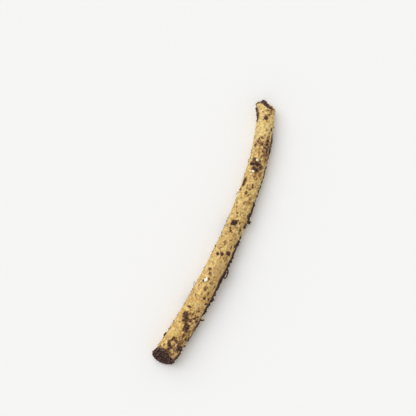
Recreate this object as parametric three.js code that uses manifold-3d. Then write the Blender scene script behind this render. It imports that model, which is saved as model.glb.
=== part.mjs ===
// A horseradish root cutting, as lifted for planting or for the kitchen: a bowed root that thickens a little
// from its blunt crown end to its slanted tail cut, lying on a flat surface with garden soil still on it.
// The root is one grown solid. The soil cakes, crusts and clods and the grains of perlite are loose pieces
// that stick to it.
//
// Millimetres, +Z up, +X towards the crown end, the outside of the bow towards -Y. The origin is under the
// middle of the root, on the surface that it lies on. A place on the skin is given by s, the distance along
// the root's axis from the crown end, and by an angle round the root: 0 on top, 90 on the outside of the bow,
// 180 underneath.

import * as THREE from 'three';
import { mergeVertices } from 'three/addons/utils/BufferGeometryUtils.js';
import Module from 'manifold-3d';

const wasm = await Module();
wasm.setup();

const radians = THREE.MathUtils.degToRad;
const UP = new THREE.Vector3(0, 0, 1);

// ---- Driving dimensions ----

const CROWN_X = 97.82; // where distances along the axis start, just inside the crown end
const TAIL_X = -95.98; // where the axis meets the slanted cut
const BOW = [-4.96, -3.84, 9.01, 3.73, 3.58]; // the axis from above: y is the sum of BOW[i] * (x / 100) ** i
const CROWN_RADIUS = 6.45;
const TAIL_RADIUS = 8.0;
const TAPER_FROM = 20; // the root thickens between these two distances from the crown
const TAPER_TO = 190;
const OVAL = 0.022; // how far the section is from round, as a share of its radius
const OVAL_TURN = 0.028; // radians that the oval turns for each millimetre along the root
const SWELL = 0.14; // the height of the slow swellings along the root
const SINK = 0.3; // how deep the underside is pressed flat where the root touches the surface
const ARCH = 0.75; // how far the underside rises between its three resting places

// Each cut meets the axis at s. It faces along the root, turned towards the outside of the bow by turn degrees
// and upwards by lift degrees.
const CROWN_CUT = { s: -0.75, turn: 31, lift: 13.5 };
const CROWN_SHOULDER = { s: -3.6, turn: -18, lift: 9 };
const TAIL_CUT = { turn: 10, lift: 30 };

const SIDES = 36;
const RINGS = 64;
const SPARE = 9; // extra length at both ends, which the cuts take off
const CLEARANCE = 0.3; // between the root and each piece that sticks to it

// ---- The axis and the skin ----

// The root's axis seen from above, from beyond the crown cut to beyond the slanted cut.
class RootAxis extends THREE.Curve {
  getPoint(t, target = new THREE.Vector3()) {
    const x = THREE.MathUtils.lerp(CROWN_X + SPARE, TAIL_X - SPARE, t);
    const y = BOW.reduce((sum, coefficient, power) => sum + coefficient * (x / 100) ** power, 0);
    return target.set(x, y, 0);
  }
}

const axis = new RootAxis();
axis.arcLengthDivisions = 600;
const axisLengths = axis.getLengths();
const fullLength = axis.getLength();

// The distance along the axis, from its very start, at which it reaches a given x.
function distanceAtX(x) {
  const t = (CROWN_X + SPARE - x) / (CROWN_X - TAIL_X + 2 * SPARE);
  const place = t * (axisLengths.length - 1);
  const before = Math.floor(place);
  return THREE.MathUtils.lerp(axisLengths[before], axisLengths[before + 1], place - before);
}

const crownStart = distanceAtX(CROWN_X);
const ROOT_LENGTH = distanceAtX(TAIL_X) - crownStart; // along the axis, from cut to cut

// The skin's radius at a distance from the crown cut and at an angle round the root.
function skinRadius(s, angle) {
  const along = THREE.MathUtils.smoothstep(s, TAPER_FROM, TAPER_TO);
  const taper = THREE.MathUtils.lerp(CROWN_RADIUS, TAIL_RADIUS, along);
  const oval = 1 + OVAL * Math.cos(2 * (angle - OVAL_TURN * s));
  const swelling = Math.sin(s / 8.5) * Math.cos(angle + s / 31) + 0.6 * Math.sin(s / 4.7 + 2 * angle);
  return taper * oval + SWELL * swelling;
}

// The height of the axis: the root touches the surface near both ends and in the middle, and arches a little
// in between.
function axisHeight(s) {
  const rise = Math.sin((Math.PI * (s / ROOT_LENGTH - 0.1)) / 0.4) ** 2;
  return skinRadius(s, Math.PI) - SINK + ARCH * rise;
}

// The axis point at s with its three directions: along the root, towards the outside of the bow, and up.
function sectionAt(s) {
  const u = THREE.MathUtils.clamp((s + crownStart) / fullLength, 0, 1);
  const centre = axis.getPointAt(u).setZ(axisHeight(s));
  const along = axis.getTangentAt(u);
  const outward = new THREE.Vector3().crossVectors(UP, along);
  return { centre, along, outward };
}

// A point in the section at s, at an angle round the root and a distance from the axis.
function pointInSection(s, angle, distance) {
  const { centre, outward } = sectionAt(s);
  centre.addScaledVector(UP, distance * Math.cos(angle));
  return centre.addScaledVector(outward, distance * Math.sin(angle));
}

// ---- Solids ----

// Moves every vertex of a geometry to place(vertex), and keeps only its merged positions.
function reshaped(geometry, place) {
  const made = geometry.clone();
  made.deleteAttribute('normal');
  made.deleteAttribute('uv');
  const positions = made.getAttribute('position');
  const vertex = new THREE.Vector3();
  for (let i = 0; i < positions.count; i++) {
    const moved = place(vertex.fromBufferAttribute(positions, i));
    positions.setXYZ(i, moved.x, moved.y, moved.z);
  }
  return mergeVertices(made, 1e-4);
}

function toManifold(geometry) {
  return new wasm.Manifold(
    new wasm.Mesh({
      numProp: 3,
      vertProperties: new Float32Array(geometry.getAttribute('position').array),
      triVerts: new Uint32Array(geometry.index.array),
    }),
  );
}

function fromManifold(solid) {
  const { vertProperties, triVerts } = solid.getMesh();
  const geometry = new THREE.BufferGeometry();
  geometry.setAttribute('position', new THREE.BufferAttribute(new Float32Array(vertProperties), 3));
  geometry.setIndex(new THREE.BufferAttribute(new Uint32Array(triVerts), 1));
  return geometry;
}

// ---- The cuts ----

// A cut's plane: a point on the axis, the outward normal, and two directions in the plane.
function cutPlane(outwardSign, { s, turn, lift }) {
  const { centre, along, outward } = sectionAt(s);
  const normal = along
    .clone()
    .multiplyScalar(outwardSign * Math.cos(radians(turn)))
    .addScaledVector(outward, Math.sin(radians(turn)))
    .multiplyScalar(Math.cos(radians(lift)))
    .addScaledVector(UP, Math.sin(radians(lift)));
  const across = new THREE.Vector3().crossVectors(UP, normal).normalize();
  const upSlope = new THREE.Vector3().crossVectors(normal, across);
  return { centre, normal, across, upSlope };
}

const crownCut = cutPlane(-1, CROWN_CUT);
const crownShoulder = cutPlane(-1, CROWN_SHOULDER);
const tailCut = cutPlane(1, { s: ROOT_LENGTH, ...TAIL_CUT });

// A block that fills everything just beyond a cut.
function beyond({ centre, normal, across, upSlope }) {
  const size = 60;
  const block = new THREE.BoxGeometry(size, size, size);
  const place = new THREE.Matrix4().makeBasis(across, upSlope, normal);
  place.setPosition(centre.clone().addScaledVector(normal, size / 2));
  return toManifold(reshaped(block, (vertex) => vertex.applyMatrix4(place)));
}

// ---- The root ----

// Broken side rootlets and one curled hair root. Each is a path of [s, angle in degrees, height above the skin].
const ROOTLET_THICKNESS = 0.55;
const ROOTLETS = [
  [[119, 96, -1.5], [120.2, 94, 1.2], [122.5, 90, 2.6], [125, 92, 2.3], [126.2, 97, 1.1], [125, 101, 0.6]],
  [[159, 92, -1.5], [159.6, 90, 0.6], [160.4, 88, 2.0]],
  [[64, -118, -1.5], [65, -116, 0.8], [67.5, -114, 1.8]],
  [[101, 128, -1.5], [102, 126, 0.7], [104.5, 122, 1.3]],
  [[142, -104, -1.5], [141, -102, 0.8], [138.5, -101, 1.5]],
];

function rootlet(path) {
  const points = path.map(([s, angle, lift]) => {
    const turn = radians(angle);
    return pointInSection(s, turn, skinRadius(s, turn) + lift);
  });
  const section = new THREE.Shape().absarc(0, 0, ROOTLET_THICKNESS / 2, 0, 2 * Math.PI);
  const tube = new THREE.ExtrudeGeometry(section, {
    extrudePath: new THREE.CatmullRomCurve3(points),
    steps: 4 * (path.length - 1),
    curveSegments: 3,
  });
  return toManifold(reshaped(tube, (vertex) => vertex));
}

function rootGeometry() {
  const barrel = new THREE.CylinderGeometry(1, 1, 1, SIDES, RINGS);
  const body = reshaped(barrel, ({ x, y, z }) => {
    const s = THREE.MathUtils.lerp(-SPARE, ROOT_LENGTH + SPARE, 0.5 - y);
    const angle = Math.atan2(x, z);
    const point = pointInSection(s, angle, Math.hypot(x, z) * skinRadius(s, angle));
    return point.setZ(Math.max(point.z, 0));
  });
  let solid = toManifold(body);
  for (const cut of [crownCut, crownShoulder, tailCut]) solid = solid.subtract(beyond(cut));
  for (const path of ROOTLETS) solid = solid.add(rootlet(path));
  return fromManifold(solid);
}

// ---- Soil and perlite ----

// A surface is a function (a, b, height) that gives the point at a and b across it and at a height above it.
function skinSurface(s, angleDegrees) {
  return (a, b, height) => {
    const around = radians(angleDegrees) + b / skinRadius(s, radians(angleDegrees));
    return pointInSection(s + a, around, skinRadius(s + a, around) + height);
  };
}

function cutSurface({ centre, normal, across, upSlope }) {
  return (a, b, height) =>
    centre.clone().addScaledVector(across, a).addScaledVector(upSlope, b).addScaledVector(normal, height);
}

// A domed crust with a ragged outline, lying on a surface. phase makes each outline different.
const CRUST_RIM = 0.35;
function crust(surface, halfLength, halfWidth, thickness, phase) {
  const ball = new THREE.SphereGeometry(1, 18, 8);
  return reshaped(ball, ({ x, y, z }) => {
    const turn = Math.atan2(z, x);
    const ragged = 0.86 + 0.09 * Math.sin(2 * turn + phase) + 0.07 * Math.sin(5 * turn + 2 * phase);
    const bumps = 1 + 0.18 * Math.sin(6 * x + phase) * Math.cos(5 * z - phase);
    const dome = CRUST_RIM + (thickness - CRUST_RIM) * Math.max(y, 0) * bumps;
    const height = CLEARANCE + (y < -1e-6 ? 0 : dome);
    return surface(x * ragged * halfLength, -z * ragged * halfWidth, height);
  });
}

// A small lump or grain held just above a surface.
function lump(surface, halfLength, halfWidth, halfHeight, phase) {
  const grain = new THREE.IcosahedronGeometry(1, 1);
  return reshaped(grain, ({ x, y, z }) => {
    const knobbly = 1 + 0.1 * Math.sin(4 * x + phase) + 0.1 * Math.cos(5 * y - phase);
    const height = CLEARANCE + halfHeight * (1 + z);
    return surface(x * knobbly * halfLength, y * knobbly * halfWidth, height);
  });
}

// Crusts on the skin: [name, s, angle, half length, half width round the root, thickness].
const SKIN_CRUSTS = [
  ['soil_crust_upper_outside', 29.5, 32, 8.4, 2.5, 0.8],
  ['soil_crust_upper_inside', 25, -22, 3.7, 2.3, 0.75],
  ['soil_crust_grit_patch', 43.5, -8, 3.1, 4.4, 1.2],
  ['soil_crust_inside_smear', 57.4, -52, 3.6, 1.6, 0.9],
  ['soil_clod_middle', 87.3, -14, 2.6, 2.3, 1.6],
  ['soil_crust_chain_lower', 163.3, -17, 3.5, 2.4, 1.2],
  ['soil_crust_chain_upper', 170.2, 16, 2.8, 1.9, 1.2],
  ['soil_crust_fork', 184.2, -8, 4.0, 2.5, 1.1],
  ['soil_clod_tail', 185, 46, 2.4, 2.4, 1.5],
  ['soil_band_inside_crown', 5.6, -82, 4.4, 1.4, 0.7],
  ['soil_band_outside_crown', 28, 79, 6, 1.6, 0.7],
  ['soil_band_outside_upper', 55, 79, 10, 1.5, 0.8],
  ['soil_band_outside_clods', 76, 90, 5.2, 2.6, 1.1],
  ['soil_band_outside_middle', 108.5, 92, 9, 2.4, 1.0],
  ['soil_band_outside_lower', 134.3, 92, 7, 2.9, 1.3],
  ['soil_band_outside_tail', 189.8, 84, 3.6, 1.4, 0.8],
  ['soil_band_under_crown', 22, 130, 8, 2.4, 0.9],
  ['soil_band_under_middle', 92, -128, 9, 2.6, 0.9],
  ['soil_band_under_tail', 172, 126, 8, 2.8, 1.0],
  ['soil_patch_under_tail', 152, -130, 6, 2.6, 0.9],
];

// Lumps on the skin: [name, s, angle, half length, half width, half height].
const SKIN_LUMPS = [
  ['soil_crumb_near_crown', 8.9, 1.5, 0.95, 0.85, 0.6],
  ['soil_speck_near_crown', 16.6, 52, 1.3, 0.7, 0.4],
  ['soil_crumb_outside_upper', 83.1, 86, 1.0, 1.0, 1.15],
  ['soil_speck_middle', 109.2, 33, 0.8, 1.1, 0.4],
  ['soil_crumb_outside_middle', 143.3, 86, 1.0, 1.0, 0.9],
  ['soil_crumb_outside_lower', 148, 88, 0.8, 0.8, 0.7],
  ['soil_flake_inside_tail', 182, -88, 1.9, 0.6, 0.4],
  ['perlite_grain_first', 39.2, -7, 0.75, 0.85, 0.7],
  ['perlite_grain_second', 47.9, -14, 0.8, 0.85, 0.7],
  ['perlite_chip', 132.8, -18, 1.95, 1.25, 0.5],
];

// ---- Materials ----

const skin = new THREE.MeshStandardMaterial({ color: 0xd0ab6b, roughness: 0.62, metalness: 0 });
const soil = new THREE.MeshStandardMaterial({ color: 0x33241c, roughness: 0.95, metalness: 0 });
const perlite = new THREE.MeshStandardMaterial({ color: 0xf3f1e8, roughness: 0.8, metalness: 0 });

// ---- Assembly ----

const horseradish = new THREE.Group();

function addPiece(name, geometry, material) {
  const mesh = new THREE.Mesh(geometry, material.clone());
  mesh.name = name;
  horseradish.add(mesh);
}

addPiece('root', rootGeometry(), skin);

// The cakes reach to within half a millimetre of the edge of each cut. The shoulder takes off one side of the
// crown cut, so its cake lies over towards the outside of the bow, with a crumb between it and the shoulder.
const EDGE = 0.5;
const CROWN_CAKE = { across: -2.6, up: 0 };
const CROWN_CRUMB = { across: 2.6, up: 2.6 };
const tailHalfHeight = TAIL_RADIUS / Math.cos(radians(TAIL_CUT.lift));
const crownFaceAt = (place) => (a, b, height) => cutSurface(crownCut)(a + place.across, b + place.up, height);
const slantedCake = crust(cutSurface(tailCut), TAIL_RADIUS - EDGE, tailHalfHeight - EDGE, 1.3, 0.4);
const crownCake = crust(crownFaceAt(CROWN_CAKE), 3.8, CROWN_RADIUS - EDGE, 1.1, 2.1);
const crownCrumb = lump(crownFaceAt(CROWN_CRUMB), 1.1, 1.1, 0.7, 1.2);
addPiece('soil_cake_slanted_cut', slantedCake, soil);
addPiece('soil_cake_crown_cut', crownCake, soil);
addPiece('soil_crumb_crown_tip', crownCrumb, soil);

SKIN_CRUSTS.forEach(([name, s, angle, halfLength, halfWidth, thickness], index) => {
  addPiece(name, crust(skinSurface(s, angle), halfLength, halfWidth, thickness, 1.7 * index), soil);
});

SKIN_LUMPS.forEach(([name, s, angle, halfLength, halfWidth, halfHeight], index) => {
  const material = name.startsWith('perlite') ? perlite : soil;
  addPiece(name, lump(skinSurface(s, angle), halfLength, halfWidth, halfHeight, 2.3 * index), material);
});

export default horseradish;
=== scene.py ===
# %% [markdown]
# # A horseradish root with the garden soil still on it
#
# The object is one bowed horseradish root, about 200 mm long and as thick as a thumb. Its crown end has a
# slanted cut beside a blunt shoulder, and its tail end has a longer slanted cut, packed with soil. It lies on
# a pale surface with garden soil and a few grains of perlite on it.
#
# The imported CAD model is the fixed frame. It says how big the root is, where it lies, and where each piece of
# soil sits. The cells below measure that frame, grow a finely detailed root over it, and stick crumbly soil
# to the root.

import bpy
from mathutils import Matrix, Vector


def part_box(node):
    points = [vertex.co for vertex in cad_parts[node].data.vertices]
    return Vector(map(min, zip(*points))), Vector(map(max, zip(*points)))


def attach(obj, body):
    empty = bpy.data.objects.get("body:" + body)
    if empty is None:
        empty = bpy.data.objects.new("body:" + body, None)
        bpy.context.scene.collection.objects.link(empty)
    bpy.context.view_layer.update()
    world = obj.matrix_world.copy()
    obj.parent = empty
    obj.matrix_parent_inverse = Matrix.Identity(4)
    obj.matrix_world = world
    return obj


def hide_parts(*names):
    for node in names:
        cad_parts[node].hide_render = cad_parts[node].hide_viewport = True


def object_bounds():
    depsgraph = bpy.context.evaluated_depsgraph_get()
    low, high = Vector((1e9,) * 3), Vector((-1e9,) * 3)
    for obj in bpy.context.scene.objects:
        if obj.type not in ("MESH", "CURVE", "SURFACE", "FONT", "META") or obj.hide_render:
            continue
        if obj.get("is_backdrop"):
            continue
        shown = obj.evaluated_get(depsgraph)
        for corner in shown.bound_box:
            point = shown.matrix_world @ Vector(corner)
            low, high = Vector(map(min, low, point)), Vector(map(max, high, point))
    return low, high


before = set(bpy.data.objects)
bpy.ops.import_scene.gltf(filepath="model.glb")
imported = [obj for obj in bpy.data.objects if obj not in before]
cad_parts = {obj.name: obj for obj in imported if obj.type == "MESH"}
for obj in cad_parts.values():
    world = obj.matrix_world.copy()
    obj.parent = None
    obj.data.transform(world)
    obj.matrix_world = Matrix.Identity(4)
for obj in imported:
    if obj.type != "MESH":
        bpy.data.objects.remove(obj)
cad_low, cad_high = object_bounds()
print("CAD box, low and high corner in metres:", cad_low[:], cad_high[:])

# %% Tools and units
import math
import random

import bmesh
import bpy
import numpy as np
from mathutils import Matrix, Vector, noise
from mathutils.bvhtree import BVHTree

MM = 0.001
UP = Vector((0, 0, 1))
scene = bpy.context.scene
scene.view_settings.view_transform = "Standard"
print("Blender", bpy.app.version_string)

# %% [markdown]
# ## The camera
#
# The camera looks straight down, as over a tabletop. It is turned about the vertical, so that the root runs
# from the top right of its view to the bottom left. A long lens far above keeps the root's two ends the same
# scale.

# %% The camera
CAMERA_OVER = (14.3 * MM, 17.6 * MM)  # the place on the surface that the camera is over
CAMERA_HEIGHT = 1.8  # metres
CAMERA_TURN = -67.77  # degrees about the vertical
VIEW_WIDTH = 297.1 * MM  # what the camera sees across, at the middle of the root's height
SENSOR_WIDTH = 36  # millimetres, as in a full-frame camera
NEAREST_SEEN = 0.01  # nothing closer to the lens than this is drawn

camera_data = bpy.data.cameras.new("camera")
camera_data.sensor_width = SENSOR_WIDTH
camera_data.lens = SENSOR_WIDTH * (CAMERA_HEIGHT - cad_high.z / 2) / VIEW_WIDTH
camera_data.clip_start = NEAREST_SEEN
camera = bpy.data.objects.new("camera", camera_data)
camera.location = (*CAMERA_OVER, CAMERA_HEIGHT)
camera.rotation_euler = (0, 0, math.radians(CAMERA_TURN))
scene.collection.objects.link(camera)
scene.camera = camera
print("lens in millimetres:", round(camera_data.lens, 1))

# %% [markdown]
# ## Colours and nodes
#
# A Principled shader takes colours in linear light, but people read them from a colour chart as numbers from
# 0 to 255. `colour` converts them. `add` places a shader node and plugs in its inputs, and `layer` lays one
# colour over another, which keeps each material short.


# %% Colours and nodes
def colour(red, green, blue):
    """A chart colour as the linear colour that shaders work in."""
    shares = (channel / 255 for channel in (red, green, blue))
    return (*(c / 12.92 if c <= 0.04045 else ((c + 0.055) / 1.055) ** 2.4 for c in shares), 1.0)


def plug(tree, socket, value):
    """Sets a socket to a value, or links it to another node's output."""
    if isinstance(value, bpy.types.NodeSocket):
        tree.links.new(value, socket)
    else:
        socket.default_value = value


def add(tree, kind, inputs=(), **settings):
    """A shader node. inputs is a dict from socket name or number to its value or link."""
    node = tree.nodes.new("ShaderNode" + kind)
    for name, value in settings.items():
        setattr(node, name, value)
    for name, value in dict(inputs).items():
        plug(tree, node.inputs[name], value)
    return node


def maths(tree, operation, *values):
    """The output of a Math node."""
    return add(tree, "Math", dict(enumerate(values)), operation=operation).outputs[0]


def mix(tree, share, first, second):
    """Two colours mixed by a share from 0 to 1."""
    return add(tree, "Mix", {0: share, 6: first, 7: second}, data_type="RGBA").outputs[2]


def layer(tree, under, mask, strength, over):
    """A colour laid over another, at its strength where the mask is 1, and not at all where it is 0."""
    return mix(tree, maths(tree, "MULTIPLY", mask, strength), under, over)


def between(tree, value, low, high, low_gives=0.0, high_gives=1.0):
    """A smooth step: low_gives at and below low, high_gives at and above high."""
    sockets = {"Value": value, 1: low, 2: high, 3: low_gives, 4: high_gives}
    return add(tree, "MapRange", sockets, interpolation_type="SMOOTHSTEP").outputs[0]


def attribute(tree, name, output="Fac"):
    """A value that was stored on the mesh."""
    return add(tree, "Attribute", attribute_name=name).outputs[output]


def new_material(name, roughness):
    """A material with its Principled shader, and the node tree that they are in."""
    material = bpy.data.materials.new(name)
    material.use_nodes = True
    shader = material.node_tree.nodes["Principled BSDF"]
    shader.inputs["Roughness"].default_value = roughness
    return material, material.node_tree, shader


print("skin tan in linear light:", [round(c, 3) for c in colour(200, 168, 108)])

# %% [markdown]
# ## The floor and the light
#
# The root lies on a plain pale surface under one large, soft lamp, up and to the left, with bright walls all
# round. The lamp gives the root its lighter left side and the soft shadow on its right. The bright
# surroundings fill the shadow in.

# %% The floor
FLOOR_SIZE = 8.0
FLOOR_SQUARES = 4

floor_material, _, floor_shader = new_material("pale_surface", 0.9)
floor_shader.inputs["Base Color"].default_value = colour(243, 243, 242)
floor_shader.inputs["Specular IOR Level"].default_value = 0.1
floor_form = bmesh.new()
bmesh.ops.create_grid(floor_form, x_segments=FLOOR_SQUARES, y_segments=FLOOR_SQUARES, size=FLOOR_SIZE / 2)
floor_mesh = bpy.data.meshes.new("floor")
floor_form.to_mesh(floor_mesh)
floor_form.free()
floor_mesh.materials.append(floor_material)
floor = bpy.data.objects.new("floor", floor_mesh)
scene.collection.objects.link(floor)
floor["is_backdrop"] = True
print("floor faces:", len(floor_mesh.polygons))

# %% The light
LAMP_LEAN = 38  # degrees from straight above
LAMP_FROM = 60  # degrees round the vertical: on the left in the camera's view, and a little towards its top
LAMP_WIDTH = 64  # degrees of the sky that the lamp fills
LAMP_STRENGTH = 1.72
WALL_BRIGHTNESS = 0.594

lamp_data = bpy.data.lights.new("soft_lamp", "SUN")
lamp_data.angle = math.radians(LAMP_WIDTH)
lamp_data.energy = LAMP_STRENGTH
lamp = bpy.data.objects.new("soft_lamp", lamp_data)
lamp_turn = Matrix.Rotation(math.radians(LAMP_FROM), 3, "Z")
lamp_turn = lamp_turn @ Matrix.Rotation(math.radians(LAMP_LEAN), 3, "Y")
lamp.rotation_euler = lamp_turn.to_euler()
scene.collection.objects.link(lamp)

world = bpy.data.worlds.new("bright_walls")
world.use_nodes = True
walls = world.node_tree.nodes["Background"]
walls.inputs["Color"].default_value = (1, 1, 1, 1)
walls.inputs["Strength"].default_value = WALL_BRIGHTNESS
scene.world = world
print("way to the lamp:", [round(part, 2) for part in lamp_turn @ UP])

# %% [markdown]
# ## Measuring the root
#
# Everything on a root is easiest to place by two numbers: `s`, the distance in millimetres along the root
# from its crown, and an angle round it, 0 on top, 90 on the outside of the bow and 180 underneath. To use
# them, the script needs the root's axis and its thickness. Both are measured from the CAD root with rays, as
# with callipers, so that nothing has to be fitted by eye.

# %% The root's axis
CALLIPER_STEPS = 90
CROWN_CLEAR = 9 * MM  # the callipers stay this far inside both ends, clear of the cuts
TAIL_CLEAR = 13 * MM
CALLIPERS_OPEN = 0.1  # a ray starts this many metres outside the root
ROUGH_MIDDLE = 7.0  # millimetres above the surface, near enough to the axis to find the root's two sides
STRAY = 0.35  # a measurement further off the smooth curve than this has met a rootlet
BOW_DEGREE = 4
WIDTH_DEGREE = 6


def ray_target(mesh):
    """A mesh as something that rays can hit."""
    return BVHTree.FromPolygons([v.co for v in mesh.vertices], [tuple(p.vertices) for p in mesh.polygons])


def smooth_curve(x, values, degree):
    """The polynomial through measured values, without the strays."""
    fit = np.polyfit(x, values, degree)
    kept = abs(np.polyval(fit, x) - values) < STRAY
    return np.polyfit(x[kept], values[kept], degree)


cad_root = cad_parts["root"].data
cad_tree = ray_target(cad_root)
root_low, root_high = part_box("root")
calliper_x = np.linspace(root_high.x - CROWN_CLEAR, root_low.x + TAIL_CLEAR, CALLIPER_STEPS)
middle, width, top = [], [], []
for x in calliper_x:
    from_outside = Vector((x, root_low.y - CALLIPERS_OPEN, ROUGH_MIDDLE * MM))
    from_inside = Vector((x, root_high.y + CALLIPERS_OPEN, ROUGH_MIDDLE * MM))
    outer = cad_tree.ray_cast(from_outside, Vector((0, 1, 0)))[0].y
    inner = cad_tree.ray_cast(from_inside, Vector((0, -1, 0)))[0].y
    over = Vector((x, (outer + inner) / 2, root_high.z + CALLIPERS_OPEN))
    middle.append((outer + inner) / 2 / MM)
    width.append((inner - outer) / MM)
    top.append(cad_tree.ray_cast(over, -UP)[0].z / MM)

station_x = calliper_x / MM
bow = smooth_curve(station_x, np.array(middle), BOW_DEGREE)
slope = np.polyval(np.polyder(bow), station_x)
half_width = np.array(width) / 2 / np.hypot(1, slope)
half_width = np.polyval(smooth_curve(station_x, half_width, WIDTH_DEGREE), station_x)
axis_height = np.array(top) - half_width
print("bow, highest power first:", bow.round(8))
print("height of the axis, least and most:", axis_height.min().round(2), axis_height.max().round(2))

# %% Distances along the axis
CROWN_INSET = 2.73  # distances start this far inside the crown's furthest point
TAIL_INSET = 4.5  # and the root's length ends this far inside the tail's furthest point
OVERRUN = 14  # the axis itself runs on past both ends
FINE_STEPS = 2400
SMOOTHING = 5  # the height of the axis is averaged over this many callipers

fine_x = np.linspace(root_high.x / MM + OVERRUN, root_low.x / MM - OVERRUN, FINE_STEPS)
fine_y = np.polyval(bow, fine_x)
fine_s = np.append(0, np.cumsum(np.hypot(np.diff(fine_x), np.diff(fine_y))))
fine_s -= np.interp(-(root_high.x / MM - CROWN_INSET), -fine_x, fine_s)
padded = np.pad(axis_height, SMOOTHING // 2, "edge")
fine_z = np.interp(-fine_x, -station_x, np.convolve(padded, np.ones(SMOOTHING) / SMOOTHING, "valid"))
ROOT_LENGTH = float(np.interp(-(root_low.x / MM + TAIL_INSET), -fine_x, fine_s))


def axis_at(s):
    """Points on the axis at distances s, and the directions along the root and towards the bow's outside."""
    x, y, z = (np.interp(s, fine_s, values) for values in (fine_x, fine_y, fine_z))
    steep = np.polyval(np.polyder(bow), x)
    zero = np.zeros_like(x)
    along = np.stack([-1 / np.hypot(1, steep), -steep / np.hypot(1, steep), zero], -1)
    outward = np.stack([-along[..., 1], along[..., 0], zero], -1)
    return np.stack([x, y, z], -1), along, outward


print("length of the root along its axis, about:", round(ROOT_LENGTH, 1))

# %% The root's thickness
MEASURED_ANGLES = np.radians(np.arange(-135, 136, 9))  # not the underside, which is pressed flat in places
MEASURED_S = np.arange(6, ROOT_LENGTH - 12, 2.0)  # clear of both cuts
AXIS_ROUNDS = 4  # each round brings a point's place on the axis nearer, and four are plenty


def waves(angle):
    """The slow waves that describe a nearly round section, one column for each."""
    angle = np.asarray(angle, float)
    once, twice = (np.cos(angle), np.sin(angle)), (np.cos(2 * angle), np.sin(2 * angle))
    return np.stack([np.ones_like(angle), *once, *twice], -1)


sections = []
for s in MEASURED_S:
    centre, _, outward = axis_at(s)
    radii = []
    for angle in MEASURED_ANGLES:
        direction = np.array([0, 0, math.cos(angle)]) + outward * math.sin(angle)
        radii.append(cad_tree.ray_cast(Vector(centre * MM), Vector(direction))[3] / MM)
    radii = np.array(radii)
    kept = radii < np.median(radii) + STRAY
    sections.append(np.linalg.lstsq(waves(MEASURED_ANGLES[kept]), radii[kept], rcond=None)[0])
sections = np.array(sections)


def skin_radius(s, angle):
    """The root's thickness from its axis, in millimetres, at s and an angle in radians."""
    shares = np.stack([np.interp(s, MEASURED_S, column) for column in sections.T], -1)
    return (shares * waves(angle)).sum(-1)


def in_section(s, angle, radius):
    """Points at s, an angle in radians and a distance from the axis, all in millimetres."""
    centre, _, outward = axis_at(s)
    reach = np.asarray(radius)[..., None]
    return centre + reach * (outward * np.sin(angle)[..., None] + np.cos(angle)[..., None] * np.array(UP))


def where_on_root(points):
    """The other way round: s, angle in radians and distance from the axis of points in millimetres."""
    s = np.interp(-points[..., 0], -fine_x, fine_s)
    for _ in range(AXIS_ROUNDS):
        centre, along, _ = axis_at(s)
        s = s + ((points - centre) * along).sum(-1)
    centre, _, outward = axis_at(s)
    off = points - centre
    sideways, upward = (off * outward).sum(-1), off[..., 2]
    return s, np.arctan2(sideways, upward), np.hypot(sideways, upward)


print("radius near the crown, in the middle and near the tail:",
      [round(float(skin_radius(s, 0.0)), 2) for s in (10, 95, 185)])

# %% The two cuts and the crown's blunt shoulder
CROWN_REACH = 14 * MM  # the crown's flats lie within this distance of its end
TAIL_REACH = 22 * MM
ENDWISE = 0.5  # a face whose normal points less than this along the root isn't at its end
SAME_WAY = 0.9995  # two faces are on one flat if the dot product of their normals is above this
SAME_PLANE = 0.03 * MM  # and one is no further than this above or below the other


def flat_faces(end, reach, count):
    """The largest flats of the CAD root near an end (1 crown, -1 tail): a point of each, and the way out."""
    limit = root_high.x - reach if end > 0 else root_low.x + reach
    flats = []
    for face in cad_root.polygons:
        if end * (face.center.x - limit) < 0 or end * face.normal.x < ENDWISE:
            continue
        for flat in flats:
            above = flat[1].dot(face.center - flat[0])
            if flat[1].dot(face.normal) > SAME_WAY and abs(above) < SAME_PLANE:
                flat[2] += face.area
                break
        else:
            flats.append([face.center.copy(), face.normal.copy(), face.area])
    flats.sort(key=lambda flat: -flat[2])
    return [(point, normal) for point, normal, _ in flats[:count]]


crown_cut, crown_shoulder = flat_faces(1, CROWN_REACH, 2)
(tail_cut,) = flat_faces(-1, TAIL_REACH, 1)
for name, (_, normal) in zip(("crown cut", "shoulder", "tail cut"), (crown_cut, crown_shoulder, tail_cut)):
    print(name, "faces", [round(c, 3) for c in normal])


def cut_frame(cut, s):
    """A cut's middle, where the axis at about s meets it, and the ways across it, up its slope and out."""
    point, normal = cut
    centre, along, _ = axis_at(s)
    start, along = Vector(centre * MM), Vector(along)
    middle = start + along * ((point - start).dot(normal) / along.dot(normal))
    across = UP.cross(normal).normalized()
    return middle, across, normal.cross(across), normal


crown_face = cut_frame(crown_cut, 0.0)
tail_face = cut_frame(tail_cut, ROOT_LENGTH)
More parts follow.
